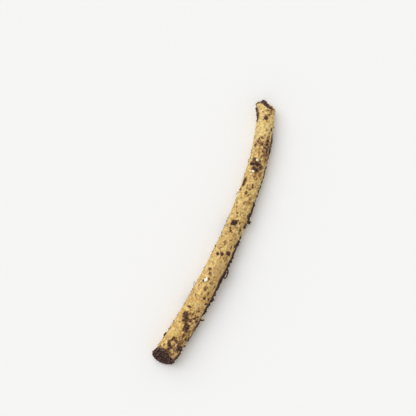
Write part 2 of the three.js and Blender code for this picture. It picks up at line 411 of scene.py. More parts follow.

# %% [markdown]
# ## Where the soil lies
#
# Soil dries on a root in two ways. A film of fine silt stains the skin brown, and moist crumbs stick up from
# it. Both are listed here as dabs, each with its place and size on the skin, so that the stain in the
# skin's colour and the crumbs that are built later always lie together. Most crumbs lie on the outside of the
# bow.

# %% Films of silt
# Each is (s, angle in degrees, half length along the root, half width round it, strength from 0 to 1).
SILT_FILMS = [
    # below the crown
    (6.8, -70, 5.8, 2.0, 0.92), (0.5, -84, 2.2, 1.0, 0.7), (6.9, 18, 0.9, 2.0, 0.75),
    (11.8, 24, 0.9, 0.9, 0.4), (15, -3, 0.8, 0.7, 0.4), (-1.6, -116, 1.6, 1.6, 0.8),
    (-1.6, -142, 1.5, 1.4, 0.8), (17.5, 15, 1.0, 0.8, 0.55), (4.0, 33, 1.2, 1.0, 0.6),
    (3.7, 8, 0.9, 1.3, 0.45), (10, -18, 0.7, 0.6, 0.6), (19.5, 38, 1.0, 1.0, 0.45), (13.5, 40, 0.8, 0.7, 0.4),
    (4.4, -22, 0.6, 1.6, 0.35), (8.8, 3, 1.7, 1.6, 0.85), (16.7, 52, 1.8, 1.1, 0.8),
    # the two stained lobes
    (22.3, 34, 1.5, 1.6, 0.5), (25.6, 32, 3.0, 2.6, 0.56), (29.5, 32, 5.0, 3.0, 0.6),
    (35, 32, 3.8, 2.8, 0.58), (30, 20, 1.2, 1.4, 0.8), (25, 34, 1.6, 1.0, 0.95), (27.8, 30, 1.2, 1.4, 0.95),
    (32, 38, 2.0, 0.9, 0.95), (24, -13, 2.2, 2.6, 0.4), (25.6, -10, 1.8, 2.2, 0.4),
    (26.6, -26, 2.4, 2.2, 0.42), (32, 5, 6.0, 5.0, 0.26), (29.5, -44, 2.0, 1.8, 0.62),
    (31.5, -14, 1.6, 1.6, 0.42), (28, -3, 1.7, 1.4, 0.85), (32.5, 13, 2.2, 1.0, 0.66),
    (38.6, 46, 2.0, 1.5, 0.7), (30, 64, 9, 1.7, 0.72), (34.5, -8, 1.0, 0.7, 0.55),
    (33.6, -32, 0.8, 0.6, 0.45), (37, 12, 1.0, 1.0, 0.5), (21.5, 8, 1.0, 0.7, 0.4),
    # the grit patch
    (42.7, -12, 2.6, 4.4, 0.85), (44.6, 26, 2.0, 1.6, 0.95), (47, -2, 2.5, 3.0, 0.85),
    (43, 46, 2.4, 1.0, 0.4), (39.9, -18, 1.6, 3.4, 0.85), (50.5, 2, 1.8, 2.0, 0.5), (49.5, 33, 1.8, 1.6, 0.5),
    (50, 70, 14, 1.0, 0.35), (52.5, 20, 1.2, 0.9, 0.5), (47.5, 46, 1.3, 0.9, 0.5),
    # down to the middle
    (57.5, 9, 1.0, 0.9, 0.75), (59.2, 13, 1.2, 0.9, 0.75), (58.5, 52, 1.0, 0.8, 0.65),
    (61.3, 2, 1.0, 1.4, 0.65), (60.8, -18, 1.0, 1.1, 0.62), (65.5, 3, 0.9, 0.7, 0.7),
    (57.2, -50, 4.2, 1.8, 0.9), (63.3, -62, 1.4, 1.2, 0.8), (64.5, -14, 1.5, 1.4, 0.8),
    (54, 10, 0.9, 0.8, 0.4), (67.8, 20, 1.3, 0.8, 0.45), (69, -30, 1.2, 0.8, 0.4), (73, -50, 1.2, 0.8, 0.5),
    (76.3, -37, 0.9, 0.8, 0.6), (80.3, -20, 0.9, 0.9, 0.7), (82.5, -12, 1.2, 0.9, 0.55),
    (70, 60, 1.8, 1.0, 0.6), (76, 20, 1.6, 0.9, 0.42), (79, 66, 2.8, 2.2, 0.75), (86.8, 64, 2.4, 2.0, 0.7),
    (72, 0, 0.9, 1.1, 0.4), (70.7, 26, 0.7, 2.6, 0.5), (81, 30, 1.2, 1.0, 0.4), (87.3, -14, 2.4, 2.4, 0.65),
    (91, 42, 1.3, 1.1, 0.8), (88.8, 35, 1.2, 0.8, 0.65), (93, 45, 1.2, 0.8, 0.65), (92, -24, 1.1, 1.0, 0.7),
    (94, -14, 1.3, 1.0, 0.75), (94.5, -2, 1.0, 0.7, 0.6), (97, -35, 1.2, 0.8, 0.45),
    (97.5, 20, 1.1, 0.8, 0.4), (104.7, 32, 1.8, 1.0, 0.62), (102.3, 58, 1.9, 1.8, 0.72),
    (99.8, -55, 1.0, 0.9, 0.6), (103, -14, 1.4, 1.3, 0.55), (108, -25, 1.2, 1.0, 0.45),
    # the tail half, and the fork of soil near its end
    (109.2, 32, 1.6, 1.9, 0.95), (111.5, -2, 1.3, 1.3, 0.95), (112.7, -27, 1.3, 1.3, 0.95),
    (113.4, 34, 2.6, 1.3, 0.6), (113.8, 18, 1.2, 0.9, 0.65), (116.5, 50, 1.6, 0.9, 0.6),
    (125, -28, 1.4, 1.6, 0.66), (127.6, -14, 1.4, 1.2, 0.66), (131.5, -6, 1.4, 1.0, 0.7),
    (128.5, 18, 1.2, 0.9, 0.45), (133.5, 18, 1.6, 1.4, 0.5), (134.5, -30, 1.1, 1.0, 0.75),
    (136.5, -35, 1.2, 0.8, 0.5), (139, -42, 1.1, 0.8, 0.5), (146, -30, 1.1, 0.8, 0.5),
    (138.8, 3, 2.0, 1.6, 0.72), (141, 28, 2.1, 1.4, 0.55), (145.3, 22, 1.3, 1.3, 0.8),
    (143.5, -3, 1.4, 0.9, 0.45), (148.5, 45, 1.2, 1.0, 0.7), (144.5, 50, 1.4, 1.4, 0.7),
    (136, 45, 1.6, 1.0, 0.5), (124, 35, 1.4, 1.0, 0.35), (155.6, -28, 1.0, 2.1, 0.7),
    (155.5, -70, 1.2, 1.1, 0.6), (155.3, 28, 1.0, 0.9, 0.7), (159.5, 8, 1.8, 0.9, 0.7),
    (160.5, 32, 1.7, 1.3, 0.8), (162, 50, 1.7, 1.2, 0.8), (162, -22, 3.0, 2.8, 0.95),
    (165, -8, 3.2, 2.2, 0.95), (164, 14, 1.4, 1.6, 0.8), (170, 16, 3.6, 2.4, 0.92),
    (175.5, 25, 2.4, 1.4, 0.72), (177, 53, 2.2, 1.2, 0.7), (166, 68, 7, 1.5, 0.62),
    (173.5, 45, 1.8, 1.2, 0.55), (174, 5, 1.6, 1.2, 0.45), (180.5, 38, 2.4, 1.8, 0.66),
    (179.7, 27, 1.2, 1.0, 0.75), (182, 26, 1.4, 1.2, 0.66), (181.6, 6, 1.2, 1.7, 0.95),
    (181.3, -13, 2.2, 1.2, 0.95), (184.6, -22, 2.1, 1.3, 0.95), (186.4, -12, 1.8, 1.7, 0.95),
    (187.3, 3, 1.5, 1.5, 0.92), (189.4, -2, 1.8, 1.4, 0.9), (185, 0, 6.0, 5.0, 0.2),
    (185, 47, 3.2, 3.2, 0.82), (186.5, 18, 1.8, 1.4, 0.6), (191.4, -5, 1.6, 6.0, 0.75),
    (192.6, -52, 1.6, 3.4, 0.75), (192.5, 62, 2.0, 1.2, 0.5), (190, 80, 5, 1.6, 0.8),
    (188.5, -35, 1.3, 1.3, 0.6), (191, -55, 1.4, 1.2, 0.7),
    # the outside of the bow, under the crumbs
    (24, 84, 6, 2.0, 0.75), (57, 92, 12, 1.3, 0.25), (77, 90, 6, 2.8, 0.8), (109, 88, 11, 2.6, 0.85),
    (133, 86, 15, 3.4, 0.9), (152, 84, 5, 2.0, 0.8), (176, 82, 4, 1.6, 0.7), (97, 88, 4, 1.8, 0.8),
]
print("films placed by hand:", len(SILT_FILMS))

# %% Crumbs of soil
# Each is (s, angle in degrees, half length along the root, half width round it, height above the skin).
SOIL_CRUMBS = {
    "soil_crust_upper_outside": [
        (25, 31, 1.2, 0.9, 0.6), (27.7, 30, 1.0, 1.2, 0.55), (30.1, 22, 0.6, 0.6, 0.5),
        (31.8, 38, 1.9, 0.9, 0.6), (33, 12, 0.6, 0.6, 0.5), (27.9, -2, 0.9, 0.9, 0.5),
        (35.5, 25, 0.7, 0.6, 0.45), (22.4, 28, 0.6, 0.5, 0.35), (34.5, 45, 1.0, 0.7, 0.5),
        (29.2, 50, 0.8, 0.7, 0.5),
    ],
    "soil_crust_upper_inside": [
        (26.5, -32, 0.7, 0.8, 0.55), (23.4, -9, 0.5, 0.5, 0.35), (29.4, -50, 0.8, 0.8, 0.45),
        (24, -26, 0.6, 0.5, 0.35),
    ],
    "soil_crust_grit_patch": [
        (40.2, 12, 0.6, 0.6, 0.7), (40.8, -12, 0.5, 0.9, 0.7), (39.8, -28, 0.7, 1.0, 0.7),
        (39.2, -35, 0.5, 0.6, 0.5), (42.6, 10, 0.8, 1.0, 0.9), (42.8, -8, 1.0, 1.6, 1.2),
        (43.1, -28, 1.0, 1.4, 1.0), (43.4, -42, 1.1, 0.9, 0.9), (44.8, 29, 1.1, 0.6, 0.5),
        (43.2, 21, 0.7, 0.6, 0.4), (46.4, 8, 1.0, 1.1, 1.0), (46.2, -10, 0.9, 1.5, 1.0),
        (47.6, 3, 0.8, 0.7, 0.8), (48.9, -20, 0.5, 0.7, 0.6), (38.6, 51, 0.6, 0.7, 0.5),
        (45.2, -18, 0.6, 0.5, 0.6),
    ],
    "soil_crust_inside_smear": [
        (57.7, -52, 1.9, 1.0, 0.9), (55.2, -48, 1.1, 0.6, 0.5), (60, -57, 0.8, 0.6, 0.5),
        (63.3, -62, 0.8, 0.7, 0.6),
    ],
    "soil_clod_middle": [
        (86.4, -3, 1.2, 0.8, 1.2), (87.4, -16, 1.5, 1.5, 1.6), (88.7, -24, 0.9, 1.1, 1.2),
        (85.0, 4, 0.6, 0.5, 0.7), (88.5, -8, 1.0, 1.0, 1.1), (87, -30, 0.7, 0.6, 0.8),
    ],
    "soil_crust_chain_lower": [
        (160.9, -22, 0.9, 0.9, 1.0), (161, -33, 0.7, 0.7, 0.8), (162.9, -20, 0.9, 0.9, 1.0),
        (162.6, -9, 0.9, 0.7, 0.8), (163.8, -4, 0.9, 0.9, 0.9), (165.6, -8, 1.0, 0.9, 1.0),
        (166.3, -22, 0.5, 0.5, 0.6), (164.4, -14, 0.7, 0.6, 0.7),
    ],
    "soil_crust_chain_upper": [
        (167.8, 3, 1.4, 0.7, 0.9), (169.6, 12, 1.1, 0.9, 1.1), (170.8, 18, 1.3, 1.1, 1.2),
        (171.8, 28, 0.8, 0.9, 0.8), (169.4, 24, 0.7, 0.6, 0.7),
    ],
    "soil_crust_fork": [
        (181.6, 8, 0.6, 0.9, 0.8), (180.6, -9, 0.8, 0.5, 0.7), (182.2, -16, 0.8, 0.5, 0.8),
        (184.4, -23, 1.3, 0.5, 0.8), (186.2, -18, 0.9, 0.8, 1.0), (185.9, -8, 0.6, 0.5, 0.8),
        (187.3, -8, 0.7, 0.7, 0.8), (187.2, 4, 0.8, 0.8, 0.9), (188.8, -3, 0.7, 0.6, 0.8),
        (190.2, -1, 0.6, 0.7, 0.8), (184.6, 8, 0.7, 0.4, 0.5),
    ],
    "soil_clod_tail": [
        (184, 44, 1.2, 1.4, 1.3), (185.6, 52, 1.3, 1.5, 1.5), (186.6, 38, 0.8, 0.9, 1.0),
        (183.4, 58, 0.7, 0.8, 0.9),
    ],
    "soil_band_inside_crown": [
        (3.2, -80, 1.0, 0.9, 1.0), (5.6, -74, 1.3, 0.8, 0.7), (8.2, -74, 1.9, 0.9, 0.7),
        (6.9, -96, 1.0, 0.9, 0.6), (11.2, -78, 0.9, 0.5, 0.5), (4.6, -84, 0.9, 0.8, 0.8),
    ],
    "soil_band_outside_crown": [
        (24.2, 76, 2.0, 0.9, 0.7), (31.6, 72, 2.4, 1.1, 0.7), (28, 86, 1.8, 0.8, 0.6),
        (33, 90, 1.4, 0.8, 0.6), (22.6, 96, 1.0, 0.8, 0.5), (37, 72, 1.0, 0.7, 0.6),
    ],
    "soil_band_outside_upper": [
        (43.4, 74, 1.2, 0.8, 0.8), (46, 66, 0.8, 0.6, 0.6), (50.4, 78, 1.2, 0.7, 0.6),
        (57.5, 80, 1.2, 0.7, 0.6), (61, 80, 0.8, 0.6, 0.6), (64.5, 82, 1.0, 0.7, 0.6),
        (67.6, 77, 1.0, 0.7, 0.6), (53.6, 92, 1.4, 0.8, 0.6), (47.4, 96, 1.0, 0.8, 0.6),
        (60, 102, 1.6, 0.9, 0.6),
    ],
    "soil_band_outside_clods": [
        (74, 76, 2.0, 1.2, 0.9), (78.8, 76, 1.9, 1.5, 1.1), (80, 62, 1.1, 1.1, 0.8), (77, 96, 2.4, 1.5, 1.0),
        (81.5, 86, 1.1, 1.0, 1.1), (72.5, 92, 1.0, 0.9, 0.7), (78, 64, 1.1, 0.7, 0.6),
    ],
    "soil_crumb_outside_upper": [
        (83, 86, 1.2, 1.1, 1.4), (83.4, 81, 0.9, 0.75, 2.3), (82.6, 80, 0.55, 0.5, 3.2),
        (84, 86, 0.5, 0.5, 2.5), (82.6, 94, 0.7, 0.7, 1.2),
    ],
    "soil_band_outside_middle": [
        (98.6, 74, 1.3, 0.9, 0.8), (101, 70, 1.5, 1.4, 0.9), (102.6, 62, 0.8, 0.9, 0.6),
        (108, 72, 1.6, 1.2, 1.0), (106, 82, 2.0, 1.0, 0.8), (111.7, 78, 1.6, 1.2, 0.9),
        (113.8, 70, 0.9, 1.2, 0.8), (116.2, 76, 1.9, 1.4, 1.0), (105, 96, 2.2, 1.2, 0.8),
        (110.5, 98, 2.6, 1.4, 1.0), (117, 92, 1.2, 1.4, 0.9), (95.5, 76, 1.3, 1.0, 0.8),
    ],
    "soil_band_outside_lower": [
        (120.2, 76, 1.9, 1.4, 1.0), (123.8, 76, 2.1, 1.5, 1.1), (128, 72, 2.1, 1.7, 1.5),
        (131.6, 75, 2.0, 1.5, 1.2), (135.4, 75, 2.1, 1.4, 1.1), (139.2, 76, 2.1, 1.3, 1.0),
        (126, 94, 2.8, 1.8, 1.1), (133, 96, 3.0, 1.8, 1.1), (139.5, 94, 2.2, 1.4, 0.9),
        (120, 94, 1.8, 1.4, 0.9), (129.5, 62, 1.0, 0.7, 0.7), (130, 84, 1.6, 1.0, 1.4),
    ],
    "soil_crumb_outside_middle": [
        (143.2, 80, 1.1, 1.0, 1.4), (143.3, 78, 0.85, 0.8, 2.4), (144.3, 82, 0.7, 0.6, 1.6),
    ],
    "soil_crumb_outside_lower": [(147.8, 80, 0.75, 0.7, 1.5), (146.2, 78, 1.2, 1.0, 0.9)],
    "soil_band_outside_tail": [
        (187.4, 76, 1.2, 0.9, 0.8), (189.8, 76, 1.3, 1.0, 0.8), (192.2, 74, 1.3, 1.0, 0.8),
        (190, 92, 2.0, 1.2, 0.7), (194, 72, 0.9, 1.0, 0.8),
    ],
    "soil_crumb_near_crown": [(8.9, 2, 1.35, 1.2, 1.0), (9.0, 4, 0.9, 0.8, 0.9)],
    "soil_speck_near_crown": [(16.7, 52, 1.3, 0.6, 0.6)],
    "soil_speck_middle": [(109.2, 31, 1.3, 1.6, 0.8), (109.7, 40, 0.9, 0.8, 0.6)],
    "soil_flake_inside_tail": [(181.2, -80, 1.3, 0.8, 1.2), (182.9, -80, 1.4, 0.8, 1.3)],
}
print("CAD pieces whose crumbs are placed by hand:", len(SOIL_CRUMBS))

# %% Soil under the root
# Underneath, no crumb is placed by hand: dabs are strewn over each of the CAD pieces there.
UNDER_DABS = 60
UNDER_SPREAD = (1.1, 9)  # how far dabs stray from the CAD piece, in millimetres along it and degrees round it
UNDER_SIZES = [(0.3, 0.9), (0.3, 0.7), (0.3, 0.8)]  # least and most half length, half width and height

for node_name in sorted(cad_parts):
    if not node_name.startswith(("soil_band_under", "soil_patch_under")):
        continue
    rolls = random.Random(node_name)
    middles = np.array([face.center[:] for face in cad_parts[node_name].data.polygons]) / MM
    face_s, face_angle, _ = where_on_root(middles)
    dabs = SOIL_CRUMBS[node_name] = []
    for _ in range(UNDER_DABS):
        pick = rolls.randrange(len(middles))
        place_s = face_s[pick] + rolls.gauss(0, UNDER_SPREAD[0])
        degrees = math.degrees(face_angle[pick]) + rolls.gauss(0, UNDER_SPREAD[1])
        dabs.append((place_s, degrees, *(rolls.uniform(*sizes) for sizes in UNDER_SIZES)))
print("pieces with soil of their own:", len(SOIL_CRUMBS))

# %% Single crumbs that no CAD piece stands for
LOOSE_CRUMBS = [
    (9.9, -14, 0.35, 0.35, 0.4), (58, 8, 0.6, 0.5, 0.4), (59.6, 14, 0.6, 0.4, 0.4),
    (64.5, -14, 0.9, 0.8, 0.7), (65.6, 3, 0.5, 0.4, 0.4), (76.3, -37, 0.5, 0.5, 0.4),
    (80.3, -20, 0.5, 0.5, 0.4), (91, 42, 0.8, 0.7, 0.6), (92, -24, 0.6, 0.6, 0.4), (94, -14, 0.7, 0.6, 0.45),
    (111.5, -2, 1.1, 1.05, 0.7), (112.7, -26, 0.95, 1.1, 0.7), (87, 62, 1.5, 0.5, 0.6),
    (86, 74, 0.6, 0.8, 0.7), (88.2, 72, 0.6, 0.8, 0.6), (87.4, 82, 1.3, 0.5, 0.8), (98, -82, 0.5, 0.6, 0.6),
    (108.2, -86, 0.8, 0.7, 0.6), (125.1, -27, 0.6, 0.5, 0.4), (128.4, -7, 0.5, 0.4, 0.35),
    (127.9, -17, 0.6, 0.6, 0.4), (134.5, -30, 0.6, 0.5, 0.5), (139, 3, 0.8, 0.5, 0.4),
    (141.5, 30, 0.4, 0.4, 0.35), (145.3, 22, 0.7, 0.7, 0.6), (144.5, 50, 0.7, 0.9, 0.5),
    (148.5, 45, 0.6, 0.5, 0.4), (155.3, 28, 0.5, 0.5, 0.4), (155.6, -27, 0.5, 1.4, 0.4),
    (160.6, 33, 0.6, 0.8, 0.5), (159, 45, 0.5, 0.5, 0.4), (162, 50, 1.0, 0.5, 0.6),
    (163.6, 13, 0.6, 0.8, 0.5), (174.6, 22, 0.5, 0.4, 0.4), (176.4, 28, 0.5, 0.4, 0.4),
    (177, 53, 1.0, 0.4, 0.5), (179.7, 28, 0.5, 0.5, 0.4), (182, 28, 0.5, 0.5, 0.4), (187, -15, 0.5, 0.4, 0.4),
    (188, -35, 0.5, 0.5, 0.4), (191, -55, 0.6, 0.5, 0.4), (170, -76, 0.5, 0.5, 0.6),
    (149.6, 70, 1.3, 1.1, 0.8), (152.4, 70, 1.8, 1.1, 0.8), (156, 74, 1.6, 0.7, 0.5),
    (166.2, 74, 1.4, 0.8, 0.7), (176.4, 72, 1.5, 0.8, 0.7), (15, 86, 0.5, 0.4, 0.6), (3.9, 86, 0.4, 0.3, 0.5),
    (95, 78, 1.2, 0.6, 0.5), (166.8, -22, 0.4, 0.4, 0.4),
]
print("single crumbs placed by hand:", len(LOOSE_CRUMBS))

# %% Crumbs and stains strewn at random
# Crumbs are strewn along both sides, underneath and on top, and stains underneath and on top. Each entry is
# how many there are, where they start and end along the root, their middle angle and its spread in degrees,
# and the least and most of their half size and of their height or strength.
STREWN_CRUMBS = [
    (130, (18, 192), (79, 9), (0.25, 0.6), (0.5, 0.9)), (100, (97, 156), (80, 6), (0.35, 0.7), (0.7, 1.15)),
    (40, (97, 156), (84, 4), (0.5, 0.75), (1.15, 1.5)), (14, (160, 192), (83, 4), (0.4, 0.6), (0.8, 1.1)),
    (26, (69, 84), (80, 6), (0.35, 0.6), (0.6, 1.0)), (46, (12, 192), (-81, 7), (0.2, 0.5), (0.4, 0.7)),
    (90, (10, 192), (180, 45), (0.2, 0.5), (0.3, 0.5)),
    (34, (152, 192), (30, 24), (0.2, 0.4), (0.3, 0.45)), (12, (80, 110), (0, 32), (0.2, 0.4), (0.3, 0.45)),
]
STREWN_FILMS = [
    (90, (10, 192), (180, 42), (0.4, 2.2), (0.35, 0.75)),
    (46, (152, 192), (30, 26), (0.4, 1.1), (0.4, 0.85)), (30, (72, 112), (5, 34), (0.3, 0.9), (0.35, 0.7)),
    (16, (112, 150), (25, 26), (0.3, 0.8), (0.35, 0.7)), (14, (50, 72), (0, 34), (0.3, 0.8), (0.35, 0.65)),
]
STREWN_NARROWNESS = (0.75, 1)  # how wide a strewn dab is for its length


def strew(rolls, strewn):
    """Dabs at random places. rolls is a seeded random source."""
    for count, (start, end), (middle, spread), half_sizes, heights in strewn:
        for _ in range(count):
            half = rolls.uniform(*half_sizes)
            place = (rolls.uniform(start, end), rolls.gauss(middle, spread))
            yield (*place, half, half * rolls.uniform(*STREWN_NARROWNESS), rolls.uniform(*heights))


rolls = random.Random(21)
LOOSE_CRUMBS += strew(rolls, STREWN_CRUMBS)
SILT_FILMS += strew(rolls, STREWN_FILMS)
print("films:", len(SILT_FILMS), "crumb dabs:", sum(len(dabs) for dabs in SOIL_CRUMBS.values()),
      "loose:", len(LOOSE_CRUMBS))

# %% [markdown]
# ## The root's skin
#
# A root's skin is one closed surface: a long tube with a rounded shoulder at the crown and two cut faces. It
# could be sculpted from the CAD root, but that has only 36 sides. Here a circle of 128 points is swept
# straight with spin in a few dozen long steps, and the long edges are then subdivided. That leaves a tidy
# grid of small, even faces, in far less time than hundreds of short steps take. Each point is then moved out
# to the measured thickness, plus the root's own relief. The grid is fine enough that wrinkles and scars are
# real shape, and catch the light from any side.

# %% Scars and pores
# Side roots leave a ring scar where they broke off: (s, angle in degrees, radius in millimetres).
RING_SCARS = [
    (4.0, 33, 0.9), (3.6, 7, 0.7), (103, -12, 1.2), (133.5, 18, 1.0), (91.5, -48, 0.9), (70.5, 26, 0.8),
    (40, 152, 1.1), (75, -112, 1.0), (118, -141, 1.3), (158, 160, 1.1), (178, -118, 1.0), (60, -160, 0.9),
    (14, -140, 0.9), (132, 128, 1.1),
]
PORE_COUNT = 230  # the pores are short dashes that lie across the root
PORE_HALF_LENGTH, PORE_HALF_WIDTH = (0.2, 0.4), (0.5, 1.5)
BRUISE = (121.5, 24, 9.5, 3.6)  # a smooth, pale scuff: s, angle, half length, half width

rolls = random.Random(4)
PORES = []
for _ in range(PORE_COUNT):
    place = (rolls.uniform(1, ROOT_LENGTH - 4), rolls.uniform(-180, 180))
    PORES.append((*place, rolls.uniform(*PORE_HALF_LENGTH), rolls.uniform(*PORE_HALF_WIDTH)))


def apart(s, angle, place_s, place_degrees):
    """How far points are from a place, along the root and round it, in millimetres."""
    turn = (angle - math.radians(place_degrees) + math.pi) % (2 * math.pi) - math.pi
    return s - place_s, turn * skin_radius(s, angle)


def fade(value, start, end):
    """A smooth step from 1 at start to 0 at end."""
    share = np.clip((value - start) / (end - start), 0, 1)
    return 1 - share * share * (3 - 2 * share)


SPOT_CORE = 0.55  # a dab is at full strength to this share of its half size, and fades out beyond


def spots(s, angle, dabs, edge=1.35):
    """The strongest of a list of dabs at each point. A dab is s, angle, half length, half width, strength."""
    strongest = np.zeros(len(s))
    for place_s, degrees, half_length, half_width, strength in dabs:
        near = np.flatnonzero(abs(s - place_s) < half_length * edge)
        along, around = apart(s[near], angle[near], place_s, degrees)
        far = np.hypot(along / half_length, around / half_width)
        strongest[near] = np.maximum(strongest[near], strength * fade(far, SPOT_CORE, edge))
    return strongest


def grain(points, size, stretch=(1, 1, 1)):
    """Smooth noise from -1 to 1 at points in millimetres, with lumps of about that size."""
    return np.array([noise.noise(Vector(p)) for p in points / (size * np.array(stretch))])


print("pores:", len(PORES), "ring scars:", len(RING_SCARS))

# %% The skin's relief
SWELLING = (0.13, 13)  # height and size of the broad lumps, in millimetres
# Height, size and stretch of the finer relief: lumps, small lumps, and furrows along the root.
RELIEF = [(0.075, 3.2, (1, 1, 1)), (0.035, 1.2, (1, 1, 1)), (0.05, 2.2, (9, 1, 1))]
CREASE_DEPTH = 0.12  # the creases run across the root, in patches
CREASE_SIZE, CREASE_STRETCH = 2.4, (0.75, 4, 4)
CREASE_SHARPNESS = 6
WRINKLED, WRINKLED_SIZE = 0.35, 9  # more of the skin has creases if the first is higher, in patches this big
BRUISE_SMOOTHS = 0.75  # the share of the finer relief that the bruise takes away
BRUISE_DEPTH = 0.12
SCAR_RIM, SCAR_RIM_WIDTH = 0.14, 0.28
SCAR_PIT, SCAR_PIT_SHARE = 0.10, 0.6
PORE_HEIGHT = 0.07


def relief(s, angle, straight):
    """How far the skin stands out from the measured thickness, in millimetres."""
    bruise = spots(s, angle, [(*BRUISE, 1.0)])
    rough = 1 - BRUISE_SMOOTHS * bruise
    height = SWELLING[0] * grain(straight, SWELLING[1]) - BRUISE_DEPTH * bruise
    for lump_height, size, stretch in RELIEF:
        height += rough * lump_height * grain(straight, size, stretch)
    wrinkled = np.clip(grain(straight, WRINKLED_SIZE) + WRINKLED, 0, 1)
    creased = (1 - abs(grain(straight, CREASE_SIZE, CREASE_STRETCH))) ** CREASE_SHARPNESS
    height -= rough * CREASE_DEPTH * wrinkled * creased
    for place_s, degrees, size in RING_SCARS:
        near = np.flatnonzero(abs(s - place_s) < 3 * size)
        along, around = apart(s[near], angle[near], place_s, degrees)
        far = np.hypot(along, around)
        rim = SCAR_RIM * np.exp(-(((far - size) / SCAR_RIM_WIDTH) ** 2))
        height[near] += rim - SCAR_PIT * np.exp(-((far / (SCAR_PIT_SHARE * size)) ** 2))
    height += PORE_HEIGHT * spots(s, angle, [(*pore, 1.0) for pore in PORES])
    return height


print("height of a ring scar and depth of a crease, in millimetres:", SCAR_RIM, CREASE_DEPTH)

# %% The marks that scars and pores leave
PORE_MARK = 0.7
SCAR_MARK_WIDTH = 0.35


def scar_marks(s, angle):
    """1 on a scar's ring, a little less on a pore, and 0 elsewhere."""
    marks = PORE_MARK * spots(s, angle, [(*pore, 1.0) for pore in PORES], edge=1.2)
    for place_s, degrees, size in RING_SCARS:
        near = np.flatnonzero(abs(s - place_s) < 3 * size)
        along, around = apart(s[near], angle[near], place_s, degrees)
        ring = np.exp(-(((np.hypot(along, around) - size) / SCAR_MARK_WIDTH) ** 2))
        marks[near] = np.maximum(marks[near], ring)
    return marks


place_s, degrees, size = RING_SCARS[0]
on_ring = scar_marks(np.array([place_s + size]), np.radians([degrees]))
print("mark on the first scar's ring:", on_ring.round(2))

# %% A straight tube
SIDES = 128
RINGS = 580
SPIN_STEPS = 29  # RINGS is a multiple of it

root_form = bmesh.new()
upright = Matrix.Rotation(math.radians(90), 4, "Y")
bmesh.ops.create_circle(root_form, cap_ends=False, segments=SIDES, radius=1.0, matrix=upright)
bmesh.ops.spin(
    root_form, geom=root_form.verts[:] + root_form.edges[:], cent=(0, 0, 0), axis=(1, 0, 0),
    dvec=(1 / SPIN_STEPS, 0, 0), angle=0, steps=SPIN_STEPS, use_merge=False, use_duplicate=False,
)
lengthwise = [
    edge for edge in root_form.edges
    if abs(edge.verts[0].co.x - edge.verts[1].co.x) > 0.5 / SPIN_STEPS
]
bmesh.ops.subdivide_edges(root_form, edges=lengthwise, cuts=RINGS // SPIN_STEPS - 1)
root_sweep = np.array([vert.co[:] for vert in root_form.verts])
ring = np.rint(root_sweep[:, 0] * RINGS)
around = np.arctan2(root_sweep[:, 1], root_sweep[:, 2])
print("points in the tube:", len(root_form.verts))

# %% The shoulder and the thickness
SHOULDER_RINGS = 26
SHOULDER_DEPTH = 1.0  # how far the rounded shoulder reaches along the root
SHOULDER_ROUNDNESS = 7.0  # 2 would be a half ball, and more is blunter
SPARE_TAIL = 8.0  # the tube runs on this far, to be cut off
CROWN_RADIUS = 6.4  # the shoulder leans as a face of this radius does
LEAN_ENDS = 16  # by this far down the root its rings stand upright
FLARE = 1.0  # on the inside of the bow the crown's rim is this much thicker than the neck below it
FLARE_REACH = (1.5, 9)  # the flare starts to thin at the first distance, and has ended at the second

# The first rings make the shoulder, from its middle out to its rim, and lean with it.
bend = np.clip(ring / SHOULDER_RINGS, 0, 1) * math.pi / 2
share_of_radius = np.sin(bend) ** (2 / SHOULDER_ROUNDNESS)
share_of_depth = 1 - np.cos(bend) ** (2 / SHOULDER_ROUNDNESS)
shoulder_point, shoulder_normal = crown_shoulder
centre, along, outward = axis_at(0.0)
to_shoulder = np.array(shoulder_point) / MM - centre
facing = np.array(shoulder_normal)
lean_out, lean_up = -facing @ outward / (facing @ along), -facing[2] / (facing @ along)
shoulder_s = float(to_shoulder @ facing / (facing @ along))
tube_share = np.clip((ring - SHOULDER_RINGS) / (RINGS - SHOULDER_RINGS), 0, 1)
tube_from = shoulder_s + SHOULDER_DEPTH
level = shoulder_s + share_of_depth * SHOULDER_DEPTH + tube_share * (ROOT_LENGTH + SPARE_TAIL - tube_from)
tilt = lean_out * np.sin(around) + lean_up * np.cos(around)
s = level + share_of_radius * CROWN_RADIUS * tilt * fade(level, tube_from, LEAN_ENDS)
thickness = skin_radius(s, around)
straight = np.stack([s, thickness * np.sin(around), thickness * np.cos(around)], -1)
thickness += relief(s, around, straight) + FLARE * fade(s, *FLARE_REACH) * np.clip(-np.sin(around), 0, 1)
for vert, place in zip(root_form.verts, in_section(s, around, share_of_radius * thickness) * MM):
    vert.co = (place[0], place[1], max(place[2], 0))
print("shoulder at s", round(shoulder_s, 2), "leaning", round(float(lean_out), 2), round(float(lean_up), 2))

# %% [markdown]
# ## The cut faces
#
# A knife leaves a flat face with a slightly rolled rim, and the flesh inside dries a little rough. Slicing
# the tube with bisect_plane makes the same cut in the mesh. The hole is filled with one face, which is
# extruded in place and drawn in again and again. The first steps rise, which rolls the rim, and the rest give
# the flesh rings of faces to be roughened.

# %% The cut faces
RIM_STEPS = [(0.985, 0.10), (0.955, 0.17), (0.915, 0.20)]  # share of the cut's size, and rise in millimetres
RIM_STEPS += [(share, 0.2) for share in np.arange(0.86, 0.05, -0.065)]
RIM_SHARE = 0.05  # over this share of the cut's size, from the rim inwards, the skin gives way to flesh
FLESH_ROUGHNESS = 0.13
FLESH_COARSE, FLESH_FINE, FLESH_FINE_SHARE = 1.3, 0.6, 0.6
SNAP = 1e-7  # metres: the knife takes a point this close to its plane as on it
ON_CUT = 2e-6  # metres: after the slice, a point this close to the plane is on the rim
RIM_MERGE = 0.12 * MM  # points on the rim that are closer than this are merged
NEAR_CUT = 2e-5  # metres: the merged points lie a little further from the plane
flesh = root_form.verts.layers.float.new("flesh")


